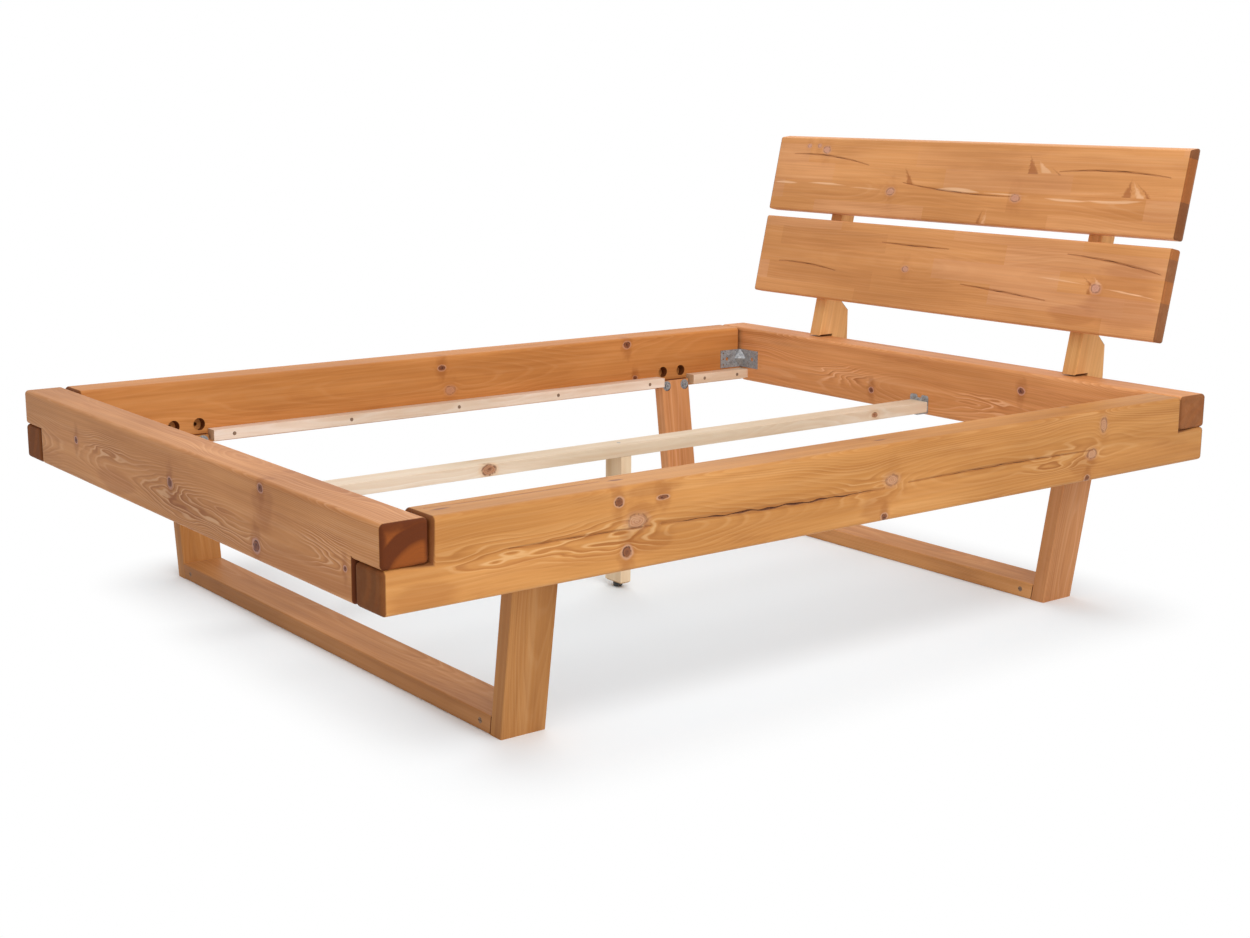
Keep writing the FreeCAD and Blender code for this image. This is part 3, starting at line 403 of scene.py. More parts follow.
class Timber:
    """The material of one board, painted in layers from the plain wood to the sawn ends.

    Numbers that are set against a place are metres, and against a reach they are times the
    oval's own size. Three numbers together are how often a noise changes in a metre. The
    others are shares of paint or of a noise, and factors.
    """

    def __init__(self, board, look):
        self.recipe = Recipe(bpy.data.materials.new(board.node + "_pine"))
        self.board = board
        self.look = look
        self.place = self.recipe.object_place(board.centre, board.axes.to_euler())
        self.along, self.across, self.through = self.recipe.split(self.place)
        # front is 1 on the front's half, side is -1 on the back's, faces is 1 near either.
        self.front = self.through.smooth(-0.008, 0.012)
        self.side = self.through.smooth(-0.0001, 0.0001) * 2 - 1
        self.faces = abs(self.through / board.half_depth).smooth(0.2, 0.6)
        self.mirrored = self.across * self.side
        self.face_place = self.recipe.node("ShaderNodeCombineXYZ", None,
                                           {0: self.along, 1: self.mirrored}).outputs[0]
        shift = (board.seed, board.seed * 2, board.seed * 3)
        self.grain_place = self.recipe.vector("ADD", self.place, shift)[0]
        self.colour = look.wood
        self.height = 0

    def texture(self, scale, detail=2, roughness=0.5):
        """Noise with its own scale along, across and through the board."""
        return self.recipe.noise(self.recipe.stretch(self.grain_place, scale), 1, detail,
                                 roughness)

    def paint(self, factor, colour):
        self.colour = self.recipe.mix(factor, self.colour, colour)

    def oval(self, along, across, half_length, half_height):
        """Distance from a place on the front, with 1 on the oval's own rim.

        The back has the same oval mirrored, as a whorl's knots come out on both.
        """
        offset = self.recipe.vector("SUBTRACT", self.face_place, (along, across, 0))[0]
        flat = self.recipe.stretch(offset, (1 / half_length, 1 / half_height, 0))
        return Value(self.recipe, self.recipe.vector("LENGTH", flat)["Value"])

    def line_depth(self, along, across, line, flared=False):
        """How deep a place lies inside a line's width, in metres; below zero outside.

        A line is widest at its middle, or at its end where it is flared.
        """
        (start_along, start_across), (end_along, end_across) = line.start, line.end
        share = along.even(start_along, end_along)
        hump = share * (1 - share) * 4
        middle = share * (end_across - start_across) + start_across + hump * line.bow
        past_its_ends = hump.smooth(0.06, 0.0) * 0.02
        swell = share if flared else hump
        return swell * line.width - abs(across - middle) - past_its_ends

    def meet_knots(self):
        """Measure the distance to the knots, which push the grain apart and lift the rings."""
        rough = (self.texture((60, 60, 60), 1) - 0.5) * 0.9
        self.patchy = self.texture((130, 130, 130), 1).smooth(0.4, 0.55)
        self.bent = self.across
        self.lifted = 0
        self.flame = 0
        self.reach = {}
        for knot in (*self.board.knots, *self.board.pale_knots):
            half_length = knot.radius * knot.stretch
            reach = self.oval(knot.along, knot.across, half_length, knot.radius)
            push = self.faces * 1.4 / (reach * reach + 1.2)
            self.bent = self.bent - (self.mirrored - knot.across) * push * self.side
            self.lifted = push * self.board.ring * 2 + self.lifted
            flame = self.oval(knot.along, knot.across, 0.006 + half_length * 1.8,
                              0.02 + knot.radius * 4)
            kind = "dark" if knot in self.board.knots else "pale"
            strength = KNOT_PAINTS[kind].flame
            self.flame = ((flame + rough).smooth(1.1, 0.2) * strength).most(self.flame)
            reach = reach + rough * 0.6 + (1 - self.faces) * 20
            self.reach[kind] = self.reach[kind].least(reach) if kind in self.reach else reach

    def cut_staves(self):
        """Give each block that a wide plank is glued up from a random number."""
        block_length = 0.42
        # By what share of a row the rows lie off the middle, and how far apart their numbers.
        row_shift = 0.37
        row_stride = 7.31
        self.block = None
        if self.board.stave:
            row = (self.across / self.board.stave + row_shift).floor()
            shift = self.recipe.hash_of(row + self.board.seed)
            block = (self.along / block_length + shift).floor()
            self.block = self.recipe.hash_of(block + row * row_stride + self.board.seed)

    def grow_rings(self):
        """Rings about the pith, which strays along the log, with small waves in every ring."""
        board = self.board
        stray = self.recipe.noise_along(self.along * 1.9 + board.seed) - 0.5
        lift = self.recipe.noise_along(self.along * 1.3 + board.seed + 40) - 0.5
        waves = self.texture((2.4, 16, 16)) - 0.5
        curls = self.texture((5.5, 30, 30)) - 0.5
        self.swirl = 0
        for swirl in board.swirls:
            reach = self.oval(*swirl)
            self.swirl = (reach.smooth(1.0, 0.35) * self.faces).most(self.swirl)
        side = self.bent - board.pith[0] + stray * board.wander
        depth = self.through - board.pith[1] + lift * board.wander
        radius = (side * side + depth * depth).root() + self.lifted
        radius = radius + waves * (0.003 + board.figure * 0.04)
        radius = radius + curls * (self.swirl * 6 + 0.5) * board.ring
        if self.block:
            radius = radius + self.block * 0.05
        self.ring_radius = radius
        year = radius / board.ring
        phase = year.fraction()
        strength = self.recipe.hash_of(year.floor() + board.seed) * 0.7 + 0.3
        self.late = phase.smooth(0.45, 0.86) * phase.smooth(1.0, 0.93) * strength
        self.early = phase.smooth(0.0, 0.1) * phase.smooth(0.34, 0.16) * strength

    def lay_streaks(self):
        """Soft streaks, stains and the fine fibre of plain wood."""
        streak = self.texture((1.1, 46, 46), 3)
        stain = self.texture((3.5, 22, 22), 4, 0.6)
        grain = self.texture((2.5, 150, 150))
        self.fibre = self.texture((9, 420, 420))
        strength = 0.1 + self.board.figure * 0.6
        self.paint(streak.smooth(0.38, 0.72) * strength, self.look.late)
        self.paint(streak.smooth(0.5, 0.2) * strength, self.look.pale)
        self.paint(stain.smooth(0.5, 0.8) * (0.15 + self.board.figure), self.look.late)
        self.paint(grain.smooth(0.48, 0.7) * 0.12, self.look.late)
        self.paint(grain.smooth(0.5, 0.3) * 0.1, self.look.pale)
        for patch in self.board.stains:
            reach = self.oval(*patch) + (stain - 0.5) * 1.6
            self.paint(reach.smooth(1.0, 0.6) * self.faces * 0.3, self.look.late)
        self.height = self.fibre * 0.35

    def lay_figure(self):
        """Grain lines, faint over the whole board and strong where it swirls."""
        zone = self.texture((1.6, 9, 9), 1).smooth(0.4, 0.65) * self.board.figure
        zone = zone + 0.04 + self.board.figure * 0.3 + self.swirl * 0.55
        self.paint(self.late * zone * 0.85, self.look.late)
        self.paint(self.early * zone * 1.1, self.look.pale)
        self.height = self.height - self.late * zone * 0.6

    def lay_flecks(self):
        """Pale flecks along the grain, and brown or pale marks left by knots cut lengthwise."""
        ragged_along = self.along + (self.patchy - 0.5) * 0.003
        for line in self.board.flecks:
            ragged = self.across + (self.fibre - 0.5) * 0.006
            inside = self.line_depth(self.along, ragged, line) * self.front
            self.paint(inside.smooth(-0.001, 0.0024) * 0.9, self.look.pale)
        for lines, colour in ((self.board.brown_marks, self.look.late),
                              (self.board.pale_marks, self.look.pale)):
            for line in lines:
                turned = Line(line.start[::-1], line.end[::-1], line.bow, line.width)
                inside = self.line_depth(self.across, ragged_along, turned, flared=True)
                self.paint(inside.smooth(-0.002, 0.006) * self.front * 0.65, colour)

    def lay_knots(self):
        """Brown shading that spreads across the grain, then each knot with its rim and heart."""
        if not self.reach:
            return
        self.paint(self.flame * self.faces, self.look.late)
        for kind, reach in self.reach.items():
            share = KNOT_PAINTS[kind]
            rings = (reach * 3.4).fraction().smooth(0.2, 0.9)
            inside = reach.smooth(1.1, 0.86)
            rim = reach.smooth(0.7, 0.98) * reach.smooth(1.3, 1.04)
            rim = rim * (self.patchy * 0.7 + 0.3)
            heart = reach.smooth(1.0, 0.2) * (1 - self.patchy * 0.5)
            halo = reach.smooth(1.8, 1.2) * (1 - inside)
            self.paint(halo * share.halo, self.look.knot_halo)
            body = self.look.knot if kind == "dark" else self.look.knot_halo
            self.paint(inside * share.body, self.recipe.mix(rings * 0.45, body, self.look.late))
            self.paint(rim * share.rim, self.look.knot_heart)
            self.paint(heart * share.heart, self.look.knot_heart)
            self.height = self.height + inside * 0.4 - rim * 0.6

    def lay_staves(self):
        """The slight change of tone from one glued block to the next."""
        if self.block:
            self.paint(self.block.smooth(0.6, 1.0) * 0.14, self.look.late)
            self.paint(self.block.smooth(0.5, 0.0) * 0.1, self.look.knot_halo)

    def lay_cracks(self):
        """Paint shade on the wood towards its cracks and sink it there, and paint ovals on its
        upper edge.
        """
        below = self.across.smooth(self.board.half_height - 0.008,
                                   self.board.half_height - 0.012)
        shade = 0
        for line in self.board.cracks:
            inside = self.line_depth(self.along, self.across, line) - (1 - self.front)
            shade = inside.smooth(-0.0006 - line.width, 0.0).most(shade)
        for line in self.board.top_cracks:
            inside = self.line_depth(self.along, self.through, line) - below
            shade = inside.smooth(-0.0045, 0.0005).most(shade)
        for line in self.board.top_marks:
            inside = self.line_depth(self.along, self.through, line) - below
            self.paint(inside.smooth(0, 0.005) * 0.7, self.look.knot)
            self.paint(inside.smooth(0.003, 0.007) * 0.5, self.look.knot_heart)
        # Painted shade: the wood is darkened towards each crack, where shade falls into it.
        if isinstance(shade, Value):
            self.paint(shade * 0.45, self.look.late)
            self.height = self.height - shade * 1.5

    def lay_ends(self):
        """Sawn ends drink more oil, most at the arrises, and show the rings as arcs."""
        board = self.board
        self.end = self.recipe.facing(board.along).smooth(0.08, 0.4) * board.oiled_ends
        arc = self.recipe.noise_along(self.ring_radius * 30 + board.seed, 0).smooth(0.42, 0.55)
        near_edge = abs(self.across / board.half_height).most(abs(self.through / board.half_depth))
        rough = (self.texture((20, 40, 40), 2) - 0.5) * 0.3
        dry = arc * (near_edge + rough).smooth(0.95, 0.7) * board.dry_ends
        if self.block:
            dry = self.block.smooth(0.25, 0.35)
        colour = self.recipe.mix(dry, self.look.end_grain, self.look.end_light)
        colour = self.recipe.mix(self.late * 0.3, colour, self.look.knot_heart)
        self.paint(self.end, colour)

    def lay_clouds(self):
        """Broad clouds of light and dark, and the board's own tint, which for some boards holds
        painted light and shade.
        """
        cloud = self.texture((1.9, 9, 9), 3).smooth(0.32, 0.68)
        dark = (*(part * share for part, share in zip(self.board.tint_and_painted_light, (0.87, 0.83, 0.76))), 1)
        light = (*(part * 1.06 for part in self.board.tint_and_painted_light), 1)
        tone = self.recipe.mix(cloud, dark, light)
        self.colour = self.recipe.mix(1.0, self.colour, tone, "MULTIPLY")

    def material(self):
        self.meet_knots()
        self.cut_staves()
        self.grow_rings()
        self.lay_streaks()
        self.lay_figure()
        self.lay_flecks()
        self.lay_knots()
        self.lay_staves()
        self.lay_cracks()
        self.lay_clouds()
        self.lay_ends()
        roughness = self.look.roughness + (self.fibre - 0.5) * 0.12 + self.end * 0.25
        return self.recipe.finish({"Base Color": self.colour, "Roughness": roughness,
                                   "Specular IOR Level": 0.14,
                                   "Normal": self.recipe.bump(self.height, 0.0006)})


def torn_wood(look):
    """The rough inside of a crack, dark in its own colour and with painted shade of its depth."""
    recipe = Recipe(bpy.data.materials.new("torn_wood"))
    grain = recipe.noise(recipe.stretch(recipe.object_place(), (260, 260, 260)), 1, 3)
    colour = recipe.mix(grain.smooth(0.3, 0.7) * 0.6, look.crack, look.knot)
    return recipe.finish({"Base Color": colour, "Roughness": grain * 0.2 + 0.75,
                          "Normal": recipe.bump(grain, 0.0008)})


def wedge(mesh, board, line, sideways, outward, surface):
    """Add a long thin wedge, to be cut from a board's surface along a crack's line.

    Two waves make its course ragged, and a third makes it swell and shrink.
    """
    stations = 60
    deepness = 1.5
    thinnest = 0.0002
    rise = 0.004
    raggedness = 0.35
    swelling = 0.25
    (start_along, start_side), (end_along, end_side) = line.start, line.end
    last = None
    for step in range(stations + 1):
        share = step / stations
        hump = 4 * share * (1 - share)
        place = start_along + (end_along - start_along) * share
        ragged = math.sin(place * 61 + board.seed) + 0.6 * math.sin(place * 143 + board.seed)
        side = start_side + (end_side - start_side) * share + hump * line.bow
        side += ragged * line.width * raggedness * hump
        swell = 1 - swelling + swelling * math.sin(place * 97 + board.seed)
        half = thinnest + line.width * hump * swell
        base = board.centre + board.along * place
        corners = [base + sideways * (side - half) + outward * (surface + rise),
                   base + sideways * (side + half) + outward * (surface + rise),
                   base + sideways * side + outward * (surface - half * deepness)]
        ring = [mesh.verts.new(corner) for corner in corners]
        if last is None:
            mesh.faces.new(ring)
        else:
            for one, two in ((0, 1), (1, 2), (2, 0)):
                mesh.faces.new((last[one], last[two], ring[two], ring[one]))
        last = ring
    mesh.faces.new(last[::-1])


def split_board(board, material, inside):
    """Stand a copy of the board, with its drying cracks cut into it, in the node's place."""
    cutter_mesh = bmesh.new()
    for line in board.cracks:
        wedge(cutter_mesh, board, line, board.across, board.out, board.half_depth)
    for line in board.top_cracks:
        wedge(cutter_mesh, board, line, board.out, board.across, board.half_height)
    bmesh.ops.recalc_face_normals(cutter_mesh, faces=cutter_mesh.faces)
    cutter = new_object(board.node + "_cracks", cutter_mesh, [inside])

    copy = bmesh.new()
    copy.from_mesh(frame["nodes"][board.node].data)
    bmesh.ops.remove_doubles(copy, verts=copy.verts, dist=SAME_PLACE)
    for face in copy.faces:
        face.material_index = 0
        face.smooth = True
    piece = new_object(board.node + "_board", copy, [material, inside])
    cut = piece.modifiers.new("cracks", "BOOLEAN")
    cut.operation = "DIFFERENCE"
    cut.solver = "EXACT"
    cut.material_mode = "TRANSFER"
    cut.object = cutter
    solid = bpy.data.meshes.new_from_object(
        piece.evaluated_get(bpy.context.evaluated_depsgraph_get()))
    piece.modifiers.clear()
    piece.data = solid
    solid.set_sharp_from_angle(angle=SHARP)
    weighted = piece.modifiers.new("even_shading", "WEIGHTED_NORMAL")
    weighted.keep_sharp = True
    bpy.data.objects.remove(cutter)
    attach(piece, "root")
    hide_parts(board.node)


def new_object(name, mesh, materials):
    """A new object in the scene, made from a bmesh, which is freed."""
    data = bpy.data.meshes.new(name)
    mesh.to_mesh(data)
    mesh.free()
    for material in materials:
        data.materials.append(material)
    made = bpy.data.objects.new(name, data)
    bpy.context.scene.collection.objects.link(made)
    return made


def dress(node, material):
    """Give every material slot of a CAD node one material."""
    mesh = frame["nodes"][node].data
    if not mesh.materials:
        mesh.materials.append(material)
    for number in range(len(mesh.materials)):
        mesh.materials[number] = material


def dress_boards(boards, look):
    """Give each board its own pine, and cut the cracks of those that have any."""
    inside = torn_wood(look)
    for board in boards:
        material = Timber(board, look).material()
        if board.cracks or board.top_cracks:
            split_board(board, material, inside)
        else:
            dress(board.node, material)


class BED_OT_beams(bpy.types.Operator):
    """Give the four heavy beams their oiled pine, with the knots and cracks of each"""

    bl_idname = "bed.beams"
    bl_label = "Beams"

    def execute(self, context):
        # Painted shade: the foot beam is tinted darker and bluer than the head beam, for the cool
        # shade on its front.
        foot = Board(
            "foot_beam", X_AXIS, Z_AXIS, pith=(-0.02, -0.03), ring=0.0026, seed=3.1, dry_ends=1.0,
            tint_and_painted_light=(0.98, 0.95, 1.37), figure=0.2, wander=0.06,
            knots=[Knot(-0.501, 0.010, 0.006, 1.2), Knot(-0.007, 0.002, 0.008, 1.1),
                   Knot(0.389, 0.062, 0.006, 1.3), Knot(0.364, -0.049, 0.010, 1.1),
                   Knot(0.694, -0.020, 0.004, 1.2)],
            swirls=[Patch(0.12, -0.03, 0.38, 0.055), Patch(-0.34, 0.02, 0.16, 0.04),
                    Patch(0.63, 0.0, 0.12, 0.05)],
            stains=[Patch(0.52, -0.055, 0.26, 0.034), Patch(0.06, -0.03, 0.12, 0.03),
                    Patch(-0.28, -0.045, 0.10, 0.028), Patch(0.40, 0.02, 0.05, 0.05)])
        # Painted light: the head beam is tinted lighter than the foot beam, for the light that
        # falls on the head end.
        head = Board(
            "head_beam", X_AXIS, Z_AXIS, pith=(-0.03, -0.05), seed=8.4, oiled_ends=0.75,
            tint_and_painted_light=(1.2, 1.13, 1.6), figure=0.2, wander=0.07,
            knots=[Knot(-0.180, -0.038, 0.006, 1.2), Knot(0.342, 0.029, 0.007, 1.2)],
            swirls=[Patch(-0.30, -0.01, 0.16, 0.035), Patch(0.22, -0.02, 0.14, 0.035)])
        left = Board(
            "side_rail_left", Y_AXIS, Z_AXIS, pith=(0.02, -0.12), seed=12.7,
            tint_and_painted_light=(0.99, 0.88, 0.98), figure=0.1, wander=0.03,
            knots=[Knot(-0.030, 0.047, 0.006, 1.6), Knot(0.583, 0.059, 0.008, 1.3),
                   Knot(0.613, -0.038, 0.005, 1.3)],
            pale_knots=[Knot(-0.006, -0.014, 0.010, 1.4)], oiled_ends=0.85)
        right = Board(
            "side_rail_right", Y_AXIS, Z_AXIS, pith=(-0.012, -0.06), ring=0.0026, seed=21.3,
            tint_and_painted_light=(0.93, 0.92, 1.05), figure=0.2, wander=0.05,
            knots=[Knot(-0.622, 0.051, 0.007, 1.2), Knot(-0.604, -0.042, 0.009, 1.1),
                   Knot(-0.523, 0.047, 0.0035, 3.0), Knot(0.043, -0.069, 0.006, 1.2),
                   Knot(0.677, -0.070, 0.006, 1.2)],
            pale_knots=[Knot(-0.582, 0.011, 0.012, 1.8), Knot(0.062, 0.004, 0.011, 1.6),
                        Knot(0.689, -0.017, 0.010, 1.6), Knot(0.725, 0.044, 0.015, 0.7)],
            swirls=[Patch(-0.90, 0.0, 0.16, 0.05), Patch(-0.68, -0.01, 0.24, 0.05),
                    Patch(0.0, -0.01, 0.16, 0.04), Patch(0.60, -0.02, 0.2, 0.045)],
            stains=[Patch(-1.02, -0.055, 0.09, 0.026), Patch(-0.55, -0.028, 0.06, 0.020),
                    Patch(-0.57, 0.031, 0.04, 0.016), Patch(-0.55, 0.064, 0.08, 0.014),
                    Patch(0.02, -0.045, 0.05, 0.034), Patch(0.66, -0.04, 0.05, 0.03)],
            cracks=[Line((-0.86, 0.002), (-0.545, -0.002), 0.001, 0.0014),
                    Line((-0.535, -0.001), (0.05, -0.010), -0.003, 0.0040),
                    Line((0.10, -0.007), (0.70, -0.009), 0.003, 0.0020)],
            top_cracks=[Line((-0.99, -0.014), (-0.62, -0.012), 0.002, 0.0012)],
            top_marks=[Line((-0.99, 0.004), (-0.935, 0.002), 0.0, 0.007),
                       Line((-0.615, -0.006), (-0.57, -0.004), 0.0, 0.008),
                       Line((0.04, 0.004), (0.09, 0.004), 0.0, 0.007)], oiled_ends=0.85)
        dress_boards((foot, head, left, right), context.scene.bed_pine)
        return {"FINISHED"}


class BED_OT_sled_legs(bpy.types.Operator):
    """Give the sled legs' posts and runners their oiled pine, each board its own grain"""

    bl_idname = "bed.sled_legs"
    bl_label = "Sled legs"

    def execute(self, context):
        boards = []
        # Painted shade: the foot's runner is tinted darker than the head's, for the shade it
        # stands in.
        ends = (("foot", (0.74, 0.72, 0.95)), ("head", (0.98, 1.0, 1.4)))
        for number, (end, runner_tint_and_painted_shade) in enumerate(ends):
            boards.append(Board(end + "_sled_runner", X_AXIS, Y_AXIS, pith=(0.02, -0.14),
                                seed=31.5 + number * 7, tint_and_painted_light=runner_tint_and_painted_shade))
            for side, name in ((-1, "left"), (1, "right")):
                # Painted shade: the foot's posts are made darker than the head's, and the right
                # ones than the left, for the shade they stand in.
                tone = 0.76 + number * 0.23 - side * 0.06
                along = Vector((math.sin(POST_LEAN) * side, 0, math.cos(POST_LEAN)))
                boards.append(Board("%s_sled_post_%s" % (end, name), along, Y_AXIS,
                                    pith=(0.015 * side, -0.11),
                                    seed=47.2 + number * 11 + side * 3,
                                    tint_and_painted_light=(tone, tone * 0.97, tone * (1.15 + number * 0.35)),
                                    figure=0.2 - number * 0.05))
        dress_boards(boards, context.scene.bed_pine)
        return {"FINISHED"}


class BED_OT_headboard(bpy.types.Operator):
    """Give the headboard's planks and supports their oiled pine"""

    bl_idname = "bed.headboard"
    bl_label = "Headboard"

    def execute(self, context):
        # Painted light: both planks are tinted lighter than the beams at the foot, for the light
        # that falls on them.
        upper = Board(
            "headboard_plank_upper", X_AXIS, UP_HEADBOARD, pith=(-0.03, -0.10), seed=63.4,
            tint_and_painted_light=(1.26, 1.26, 1.8), figure=0.06, stave=0.052, oiled_ends=0.85,
            pale_knots=[Knot(-0.228, -0.037, 0.009, 1.5), Knot(0.209, -0.034, 0.009, 1.5),
                        Knot(-0.577, 0.080, 0.005, 1.4), Knot(-0.536, 0.081, 0.005, 1.4),
                        Knot(-0.504, 0.070, 0.009, 1.4)],
            brown_marks=[Line((-0.190, 0.033), (-0.160, -0.015), 0.003, 0.014),
                         Line((0.236, 0.078), (0.252, 0.029), 0.0, 0.018),
                         Line((0.112, -0.064), (0.100, -0.106), 0.0, 0.008),
                         Line((0.300, 0.051), (0.336, 0.029), 0.004, 0.005),
                         Line((0.556, 0.031), (0.547, -0.017), 0.0, 0.014),
                         Line((0.562, 0.025), (0.612, -0.017), 0.004, 0.007)],
            pale_marks=[Line((0.266, 0.064), (0.296, 0.033), 0.0, 0.018),
                        Line((0.124, -0.066), (0.118, -0.106), 0.0, 0.007),
                        Line((0.558, 0.023), (0.588, -0.017), 0.0, 0.013)],
            cracks=[Line((-0.638, 0.055), (-0.323, 0.031), 0.010, 0.0018),
                    Line((0.329, 0.038), (0.667, 0.035), 0.009, 0.0018),
                    Line((-0.193, -0.010), (0.198, -0.031), -0.007, 0.0017)],
            flecks=[Line((-0.70, -0.029), (-0.60, -0.028), 0.001, 0.004),
                    Line((-0.56, -0.026), (-0.40, -0.029), 0.002, 0.003),
                    Line((-0.39, -0.031), (-0.26, -0.033), 0.0, 0.002),
                    Line((-0.07, -0.023), (0.09, -0.025), 0.002, 0.006),
                    Line((0.10, -0.026), (0.25, -0.028), 0.001, 0.002),
                    Line((0.30, -0.029), (0.44, -0.031), -0.002, 0.004),
                    Line((0.42, -0.029), (0.60, -0.023), -0.004, 0.004)])
        lower = Board(
            "headboard_plank_lower", X_AXIS, UP_HEADBOARD, pith=(0.01, -0.12), seed=74.9,
            tint_and_painted_light=(1.2, 1.19, 1.7), figure=0.06, stave=0.052, oiled_ends=0.75,
            pale_knots=[Knot(-0.120, -0.004, 0.007, 1.5), Knot(0.510, -0.002, 0.010, 1.3)],
            brown_marks=[Line((0.463, 0.027), (0.494, 0.004), 0.002, 0.008),
                         Line((0.490, 0.014), (0.492, -0.018), 0.0, 0.008)],
            pale_marks=[Line((0.500, 0.026), (0.516, 0.008), 0.0, 0.010)],
            flecks=[Line((0.32, 0.012), (0.48, 0.004), 0.002, 0.002),
                    Line((0.53, -0.001), (0.69, -0.014), 0.002, 0.002)],
            stains=[Patch(0.60, -0.01, 0.13, 0.10), Patch(0.45, -0.075, 0.08, 0.03)],
            cracks=[Line((-0.227, 0.062), (0.025, 0.060), -0.001, 0.0017),
                    Line((0.403, 0.075), (0.690, 0.045), 0.006, 0.0019),
                    Line((-0.623, -0.018), (-0.379, -0.030), 0.006, 0.0017),
                    Line((0.078, -0.028), (0.369, -0.045), 0.001, 0.0018)])
        boards = [upper, lower]
        backwards = Vector((0, math.cos(HEADBOARD_LEAN), -math.sin(HEADBOARD_LEAN)))
        # Painted light: the supports are tinted lighter still, for the light that falls on them.
        for side, name in ((-1, "left"), (1, "right")):
            boards.append(Board("headboard_support_" + name, UP_HEADBOARD, backwards,
                                pith=(0.06, -0.09), seed=85 + side * 4,
                                tint_and_painted_light=(1.4, 1.66, 2.5), figure=0.12))
        dress_boards(boards, context.scene.bed_pine)
        return {"FINISHED"}


class BED_OT_slat_rests(bpy.types.Operator):
    """Give the cleats, the centre beam and its leg their bare pine"""

    bl_idname = "bed.slat_rests"
    bl_label = "Slat rests"

    def execute(self, context):
        boards = [
            Board("centre_beam", Y_AXIS, Z_AXIS, pith=(0.02, -0.10), seed=92.6, figure=0.35,
                  tint_and_painted_light=(1.0, 1.06, 1.2),
                  knots=[Knot(-0.380, 0.001, 0.011, 1.6), Knot(0.812, 0.0, 0.006, 1.5)]),
            Board("centre_leg", Z_AXIS, X_AXIS, pith=(0.0, -0.08), seed=97.1, figure=0.4),
        ]
        for side, name in ((-1, "left"), (1, "right")):
            boards.append(Board("long_cleat_" + name, Y_AXIS, Z_AXIS, pith=(0.01, -0.07),
                                seed=103.7 + side * 5, figure=0.35, tint_and_painted_light=(1.08, 1.1, 1.3)))
            for number, end in enumerate(("foot", "head")):
                boards.append(Board("%s_cleat_%s" % (end, name), Y_AXIS, Z_AXIS,
                                    pith=(0.01, -0.06), seed=115.9 + side * 5 + number * 3,
                                    tint_and_painted_light=(1.06, 1.04, 1.15), figure=0.3))
        dress_boards(boards, context.scene.bed_raw_pine)
        return {"FINISHED"}


def galvanised(name, steel, spangle):
    """Zinc-coated steel with faint crystals and a soft, uneven sheen.

    The scale of a pattern is how often it changes in a metre.
    """
    recipe = Recipe(bpy.data.materials.new(name))
    place = recipe.object_place()
    made = recipe.node("ShaderNodeTexVoronoi", None, {"Vector": place, "Scale": 190})
    crystal = Value(recipe, recipe.node("ShaderNodeSeparateColor", None,
                                        {0: made.outputs["Color"]}).outputs[0])
    smudge = recipe.noise(place, 60, 3)
    pits = recipe.noise(place, 420, 1).smooth(0.6, 0.68)
    colour = recipe.mix(crystal * 0.45 + smudge.smooth(0.35, 0.75) * 0.35, steel, spangle)
    colour = recipe.mix(pits * 0.6, colour, PIT)
    roughness = 0.55 + crystal * 0.16 + smudge * 0.12
    normal = recipe.bump(crystal + recipe.noise(place, 900, 1) * 0.5, 0.00003)
    return recipe.finish({"Base Color": colour, "Metallic": 0.75, "Roughness": roughness,
                          "Normal": normal})


def moulded(name, colour):
    """Moulded plastic with a fine matt grain."""
    recipe = Recipe(bpy.data.materials.new(name))
    grain = recipe.noise(recipe.object_place(), 1400, 2)
    tone = recipe.mix(grain.smooth(0.3, 0.7) * 0.3, colour, GLIDE_GRAIN)
    return recipe.finish({"Base Color": tone, "Roughness": 0.5 + grain * 0.15,
                          "Normal": recipe.bump(grain, 0.00005)})


class BED_OT_fittings(bpy.types.Operator):
    """Give the brackets, hangers, screws, bolts and the glide their finishes"""

    bl_idname = "bed.fittings"
    bl_label = "Fittings"

    def execute(self, context):
        look = context.scene.bed_fittings
        plate = galvanised("galvanised_plate", look.steel, look.spangle)
        fastener = galvanised("plated_fastener", look.fastener, look.spangle)
        dull = galvanised("dull_fastener", look.dull, look.dull)
        glide = moulded("moulded_glide", look.glide)
        wooden = {"oiled_pine", "pale_pine"}
        for part in frame["record"]["subparts"]:
            node, slot = part["node"], part["material_slot"]
            if slot in wooden:
                continue
            if slot == "black_glide":
                dress(node, glide)
            elif node in ("cleat_screws", "runner_cams"):
                dress(node, dull)
            else:
                plates = node.startswith(("corner_bracket", "beam_hanger"))
                dress(node, plate if plates else fastener)
        return {"FINISHED"}


def soft_lamp(name, power, size, place, target):
    """A square lamp at a place, turned to face a target."""
    lamp = bpy.data.lights.new(name, "AREA")
    lamp.energy = power
    lamp.size = size
    lamp_object = bpy.data.objects.new(name, lamp)
    turn = (Vector(target) - Vector(place)).to_track_quat("-Z", "Y").to_matrix().to_4x4()
    lamp_object.matrix_world = Matrix.Translation(place) @ turn
    bpy.context.scene.collection.objects.link(lamp_object)


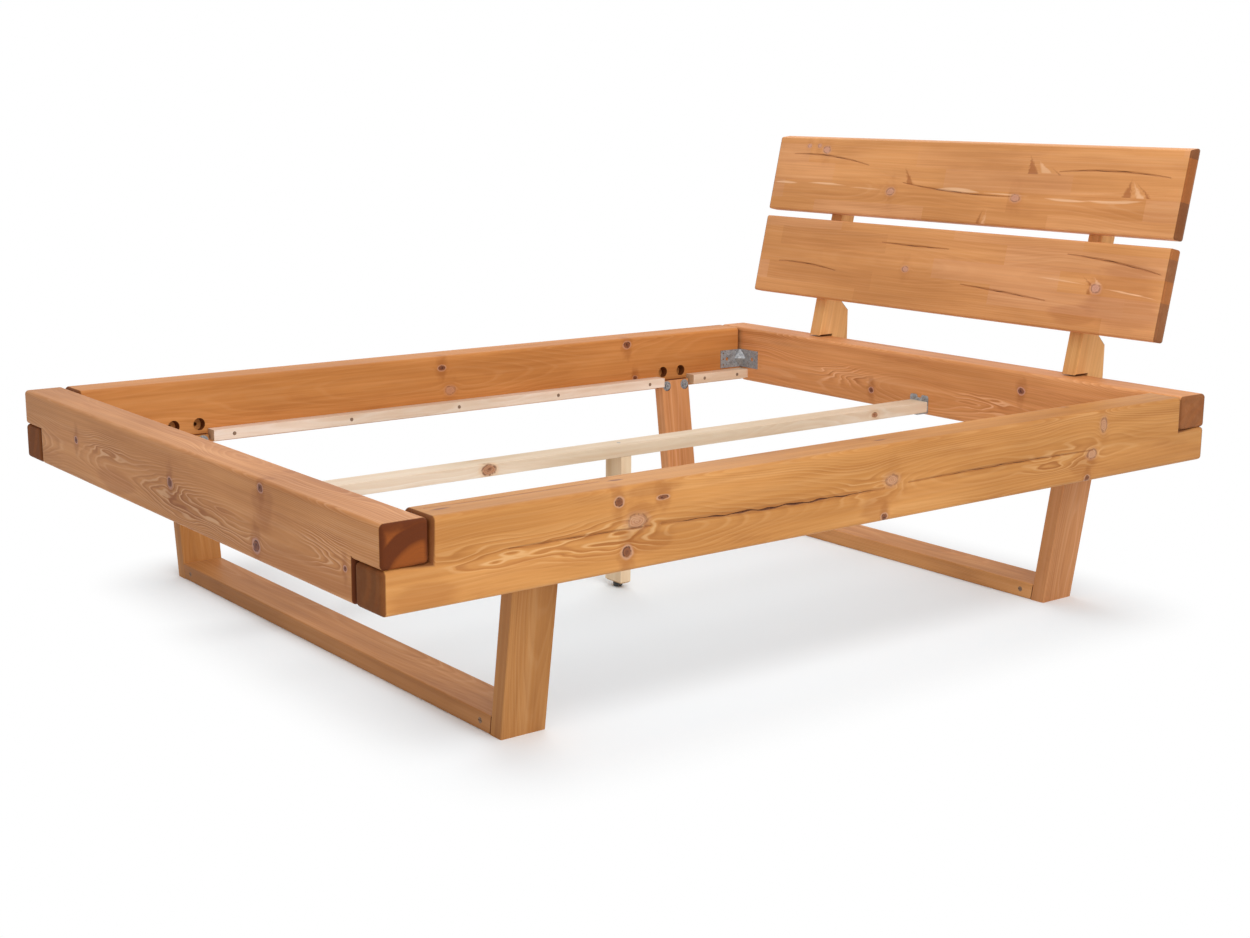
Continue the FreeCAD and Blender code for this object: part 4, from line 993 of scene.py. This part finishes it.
def pale_floor(look):
    """A floor that keeps the shadow between the legs and fades to white round about."""
    recipe = Recipe(bpy.data.materials.new("pale_floor"))
    x, y, _ = recipe.split(recipe.object_place())
    far = 1
    for (left, right), (near, back) in ((look.shadow_x, look.shadow_y),
                                        (look.foot_shadow_x, look.foot_shadow_y)):
        beside = (left - x).most(x - right).most(0)
        beyond = (near - y).most(y - back).most(0)
        away = (beside * beside + beyond * beyond).root()
        far = away.smooth(0.0, look.shadow_fade).least(far)
    matt = recipe.node("ShaderNodeBsdfDiffuse", None, {"Color": look.floor})
    white = recipe.node("ShaderNodeEmission", None, {"Color": WHITE, "Strength": 1})
    mixed = recipe.node("ShaderNodeMixShader", None,
                        {0: far * recipe.seen_directly(), 1: matt.outputs[0],
                         2: white.outputs[0]})
    recipe.node("ShaderNodeOutputMaterial", None, {"Surface": mixed.outputs[0]})
    return recipe.owner


def white_world(look):
    """Even light all round, and white where nothing stands behind the bed."""
    world = bpy.data.worlds.new("studio")
    bpy.context.scene.world = world
    recipe = Recipe(world)
    even = recipe.node("ShaderNodeBackground", None, {"Color": WHITE, "Strength": look.sky})
    white = recipe.node("ShaderNodeBackground", None, {"Color": WHITE, "Strength": 1})
    chosen = recipe.node("ShaderNodeMixShader", None,
                         {0: recipe.seen_directly(), 1: even.outputs[0], 2: white.outputs[0]})
    recipe.node("ShaderNodeOutputWorld", None, {"Surface": chosen.outputs[0]})


def camera_turn(look):
    """The camera's axes in the world, from its yaw, pitch and roll."""
    forward = Vector((-math.sin(look.yaw) * math.cos(look.pitch),
                      math.cos(look.yaw) * math.cos(look.pitch), math.sin(look.pitch)))
    level = Vector((math.cos(look.yaw), math.sin(look.yaw), 0))
    upright = level.cross(forward)
    right = level * math.cos(look.roll) + upright * math.sin(look.roll)
    up = right.cross(forward)
    return Matrix((right, up, -forward)).transposed().to_4x4()


def set_up_camera(look):
    """A camera that was fitted to the photo."""
    camera = bpy.data.cameras.new("camera")
    camera.lens = look.lens
    camera.clip_end = VIEW_REACH
    seat = bpy.data.objects.new("camera", camera)
    seat.matrix_world = Matrix.Translation(look.camera) @ camera_turn(look)
    bpy.context.scene.collection.objects.link(seat)
    bpy.context.scene.camera = seat


class BED_OT_stage(bpy.types.Operator):
    """Lay the floor, hang the lamps and set up the camera"""

    bl_idname = "bed.stage"
    bl_label = "Stage"

    def execute(self, context):
        look = context.scene.bed_stage
        bpy.ops.mesh.primitive_plane_add(size=FLOOR_SIZE)
        floor = context.object
        floor.name = "floor"
        floor.data.materials.append(pale_floor(look))
        white_world(look)
        for name, size, place in LAMPS:
            soft_lamp(name + "_lamp", getattr(look, name), size, place, LAMPS_FACE)
        set_up_camera(look)
        context.scene.view_settings.view_transform = "Standard"
        return {"FINISHED"}


STEPS = (BED_OT_beams, BED_OT_sled_legs, BED_OT_headboard, BED_OT_slat_rests, BED_OT_fittings,
         BED_OT_stage)
LOOKS = {"bed_pine": BED_PG_pine, "bed_raw_pine": BED_PG_raw_pine,
         "bed_fittings": BED_PG_fittings, "bed_stage": BED_PG_stage}


class BED_PT_sidebar(bpy.types.Panel):
    """The steps that dress the bed, and the values they use."""

    bl_label = "Bed"
    bl_idname = "BED_PT_sidebar"
    bl_space_type = "VIEW_3D"
    bl_region_type = "UI"
    bl_category = "Bed"

    def draw(self, context):
        for step in STEPS:
            self.layout.operator(step.bl_idname)
        for name, group in LOOKS.items():
            box = self.layout.box()
            for value in group.__annotations__:
                box.prop(getattr(context.scene, name), value)


def register():
    for item in (*LOOKS.values(), *STEPS, BED_PT_sidebar):
        bpy.utils.register_class(item)
    for name, group in LOOKS.items():
        setattr(bpy.types.Scene, name, bpy.props.PointerProperty(type=group))


def unregister():
    for name in LOOKS:
        delattr(bpy.types.Scene, name)
    for item in reversed((*LOOKS.values(), *STEPS, BED_PT_sidebar)):
        bpy.utils.unregister_class(item)


def main():
    register()
    bpy.ops.bed.beams()
    bpy.ops.bed.sled_legs()
    bpy.ops.bed.headboard()
    bpy.ops.bed.slat_rests()
    bpy.ops.bed.fittings()
    bpy.ops.bed.stage()


if __name__ == "__main__":
    main()
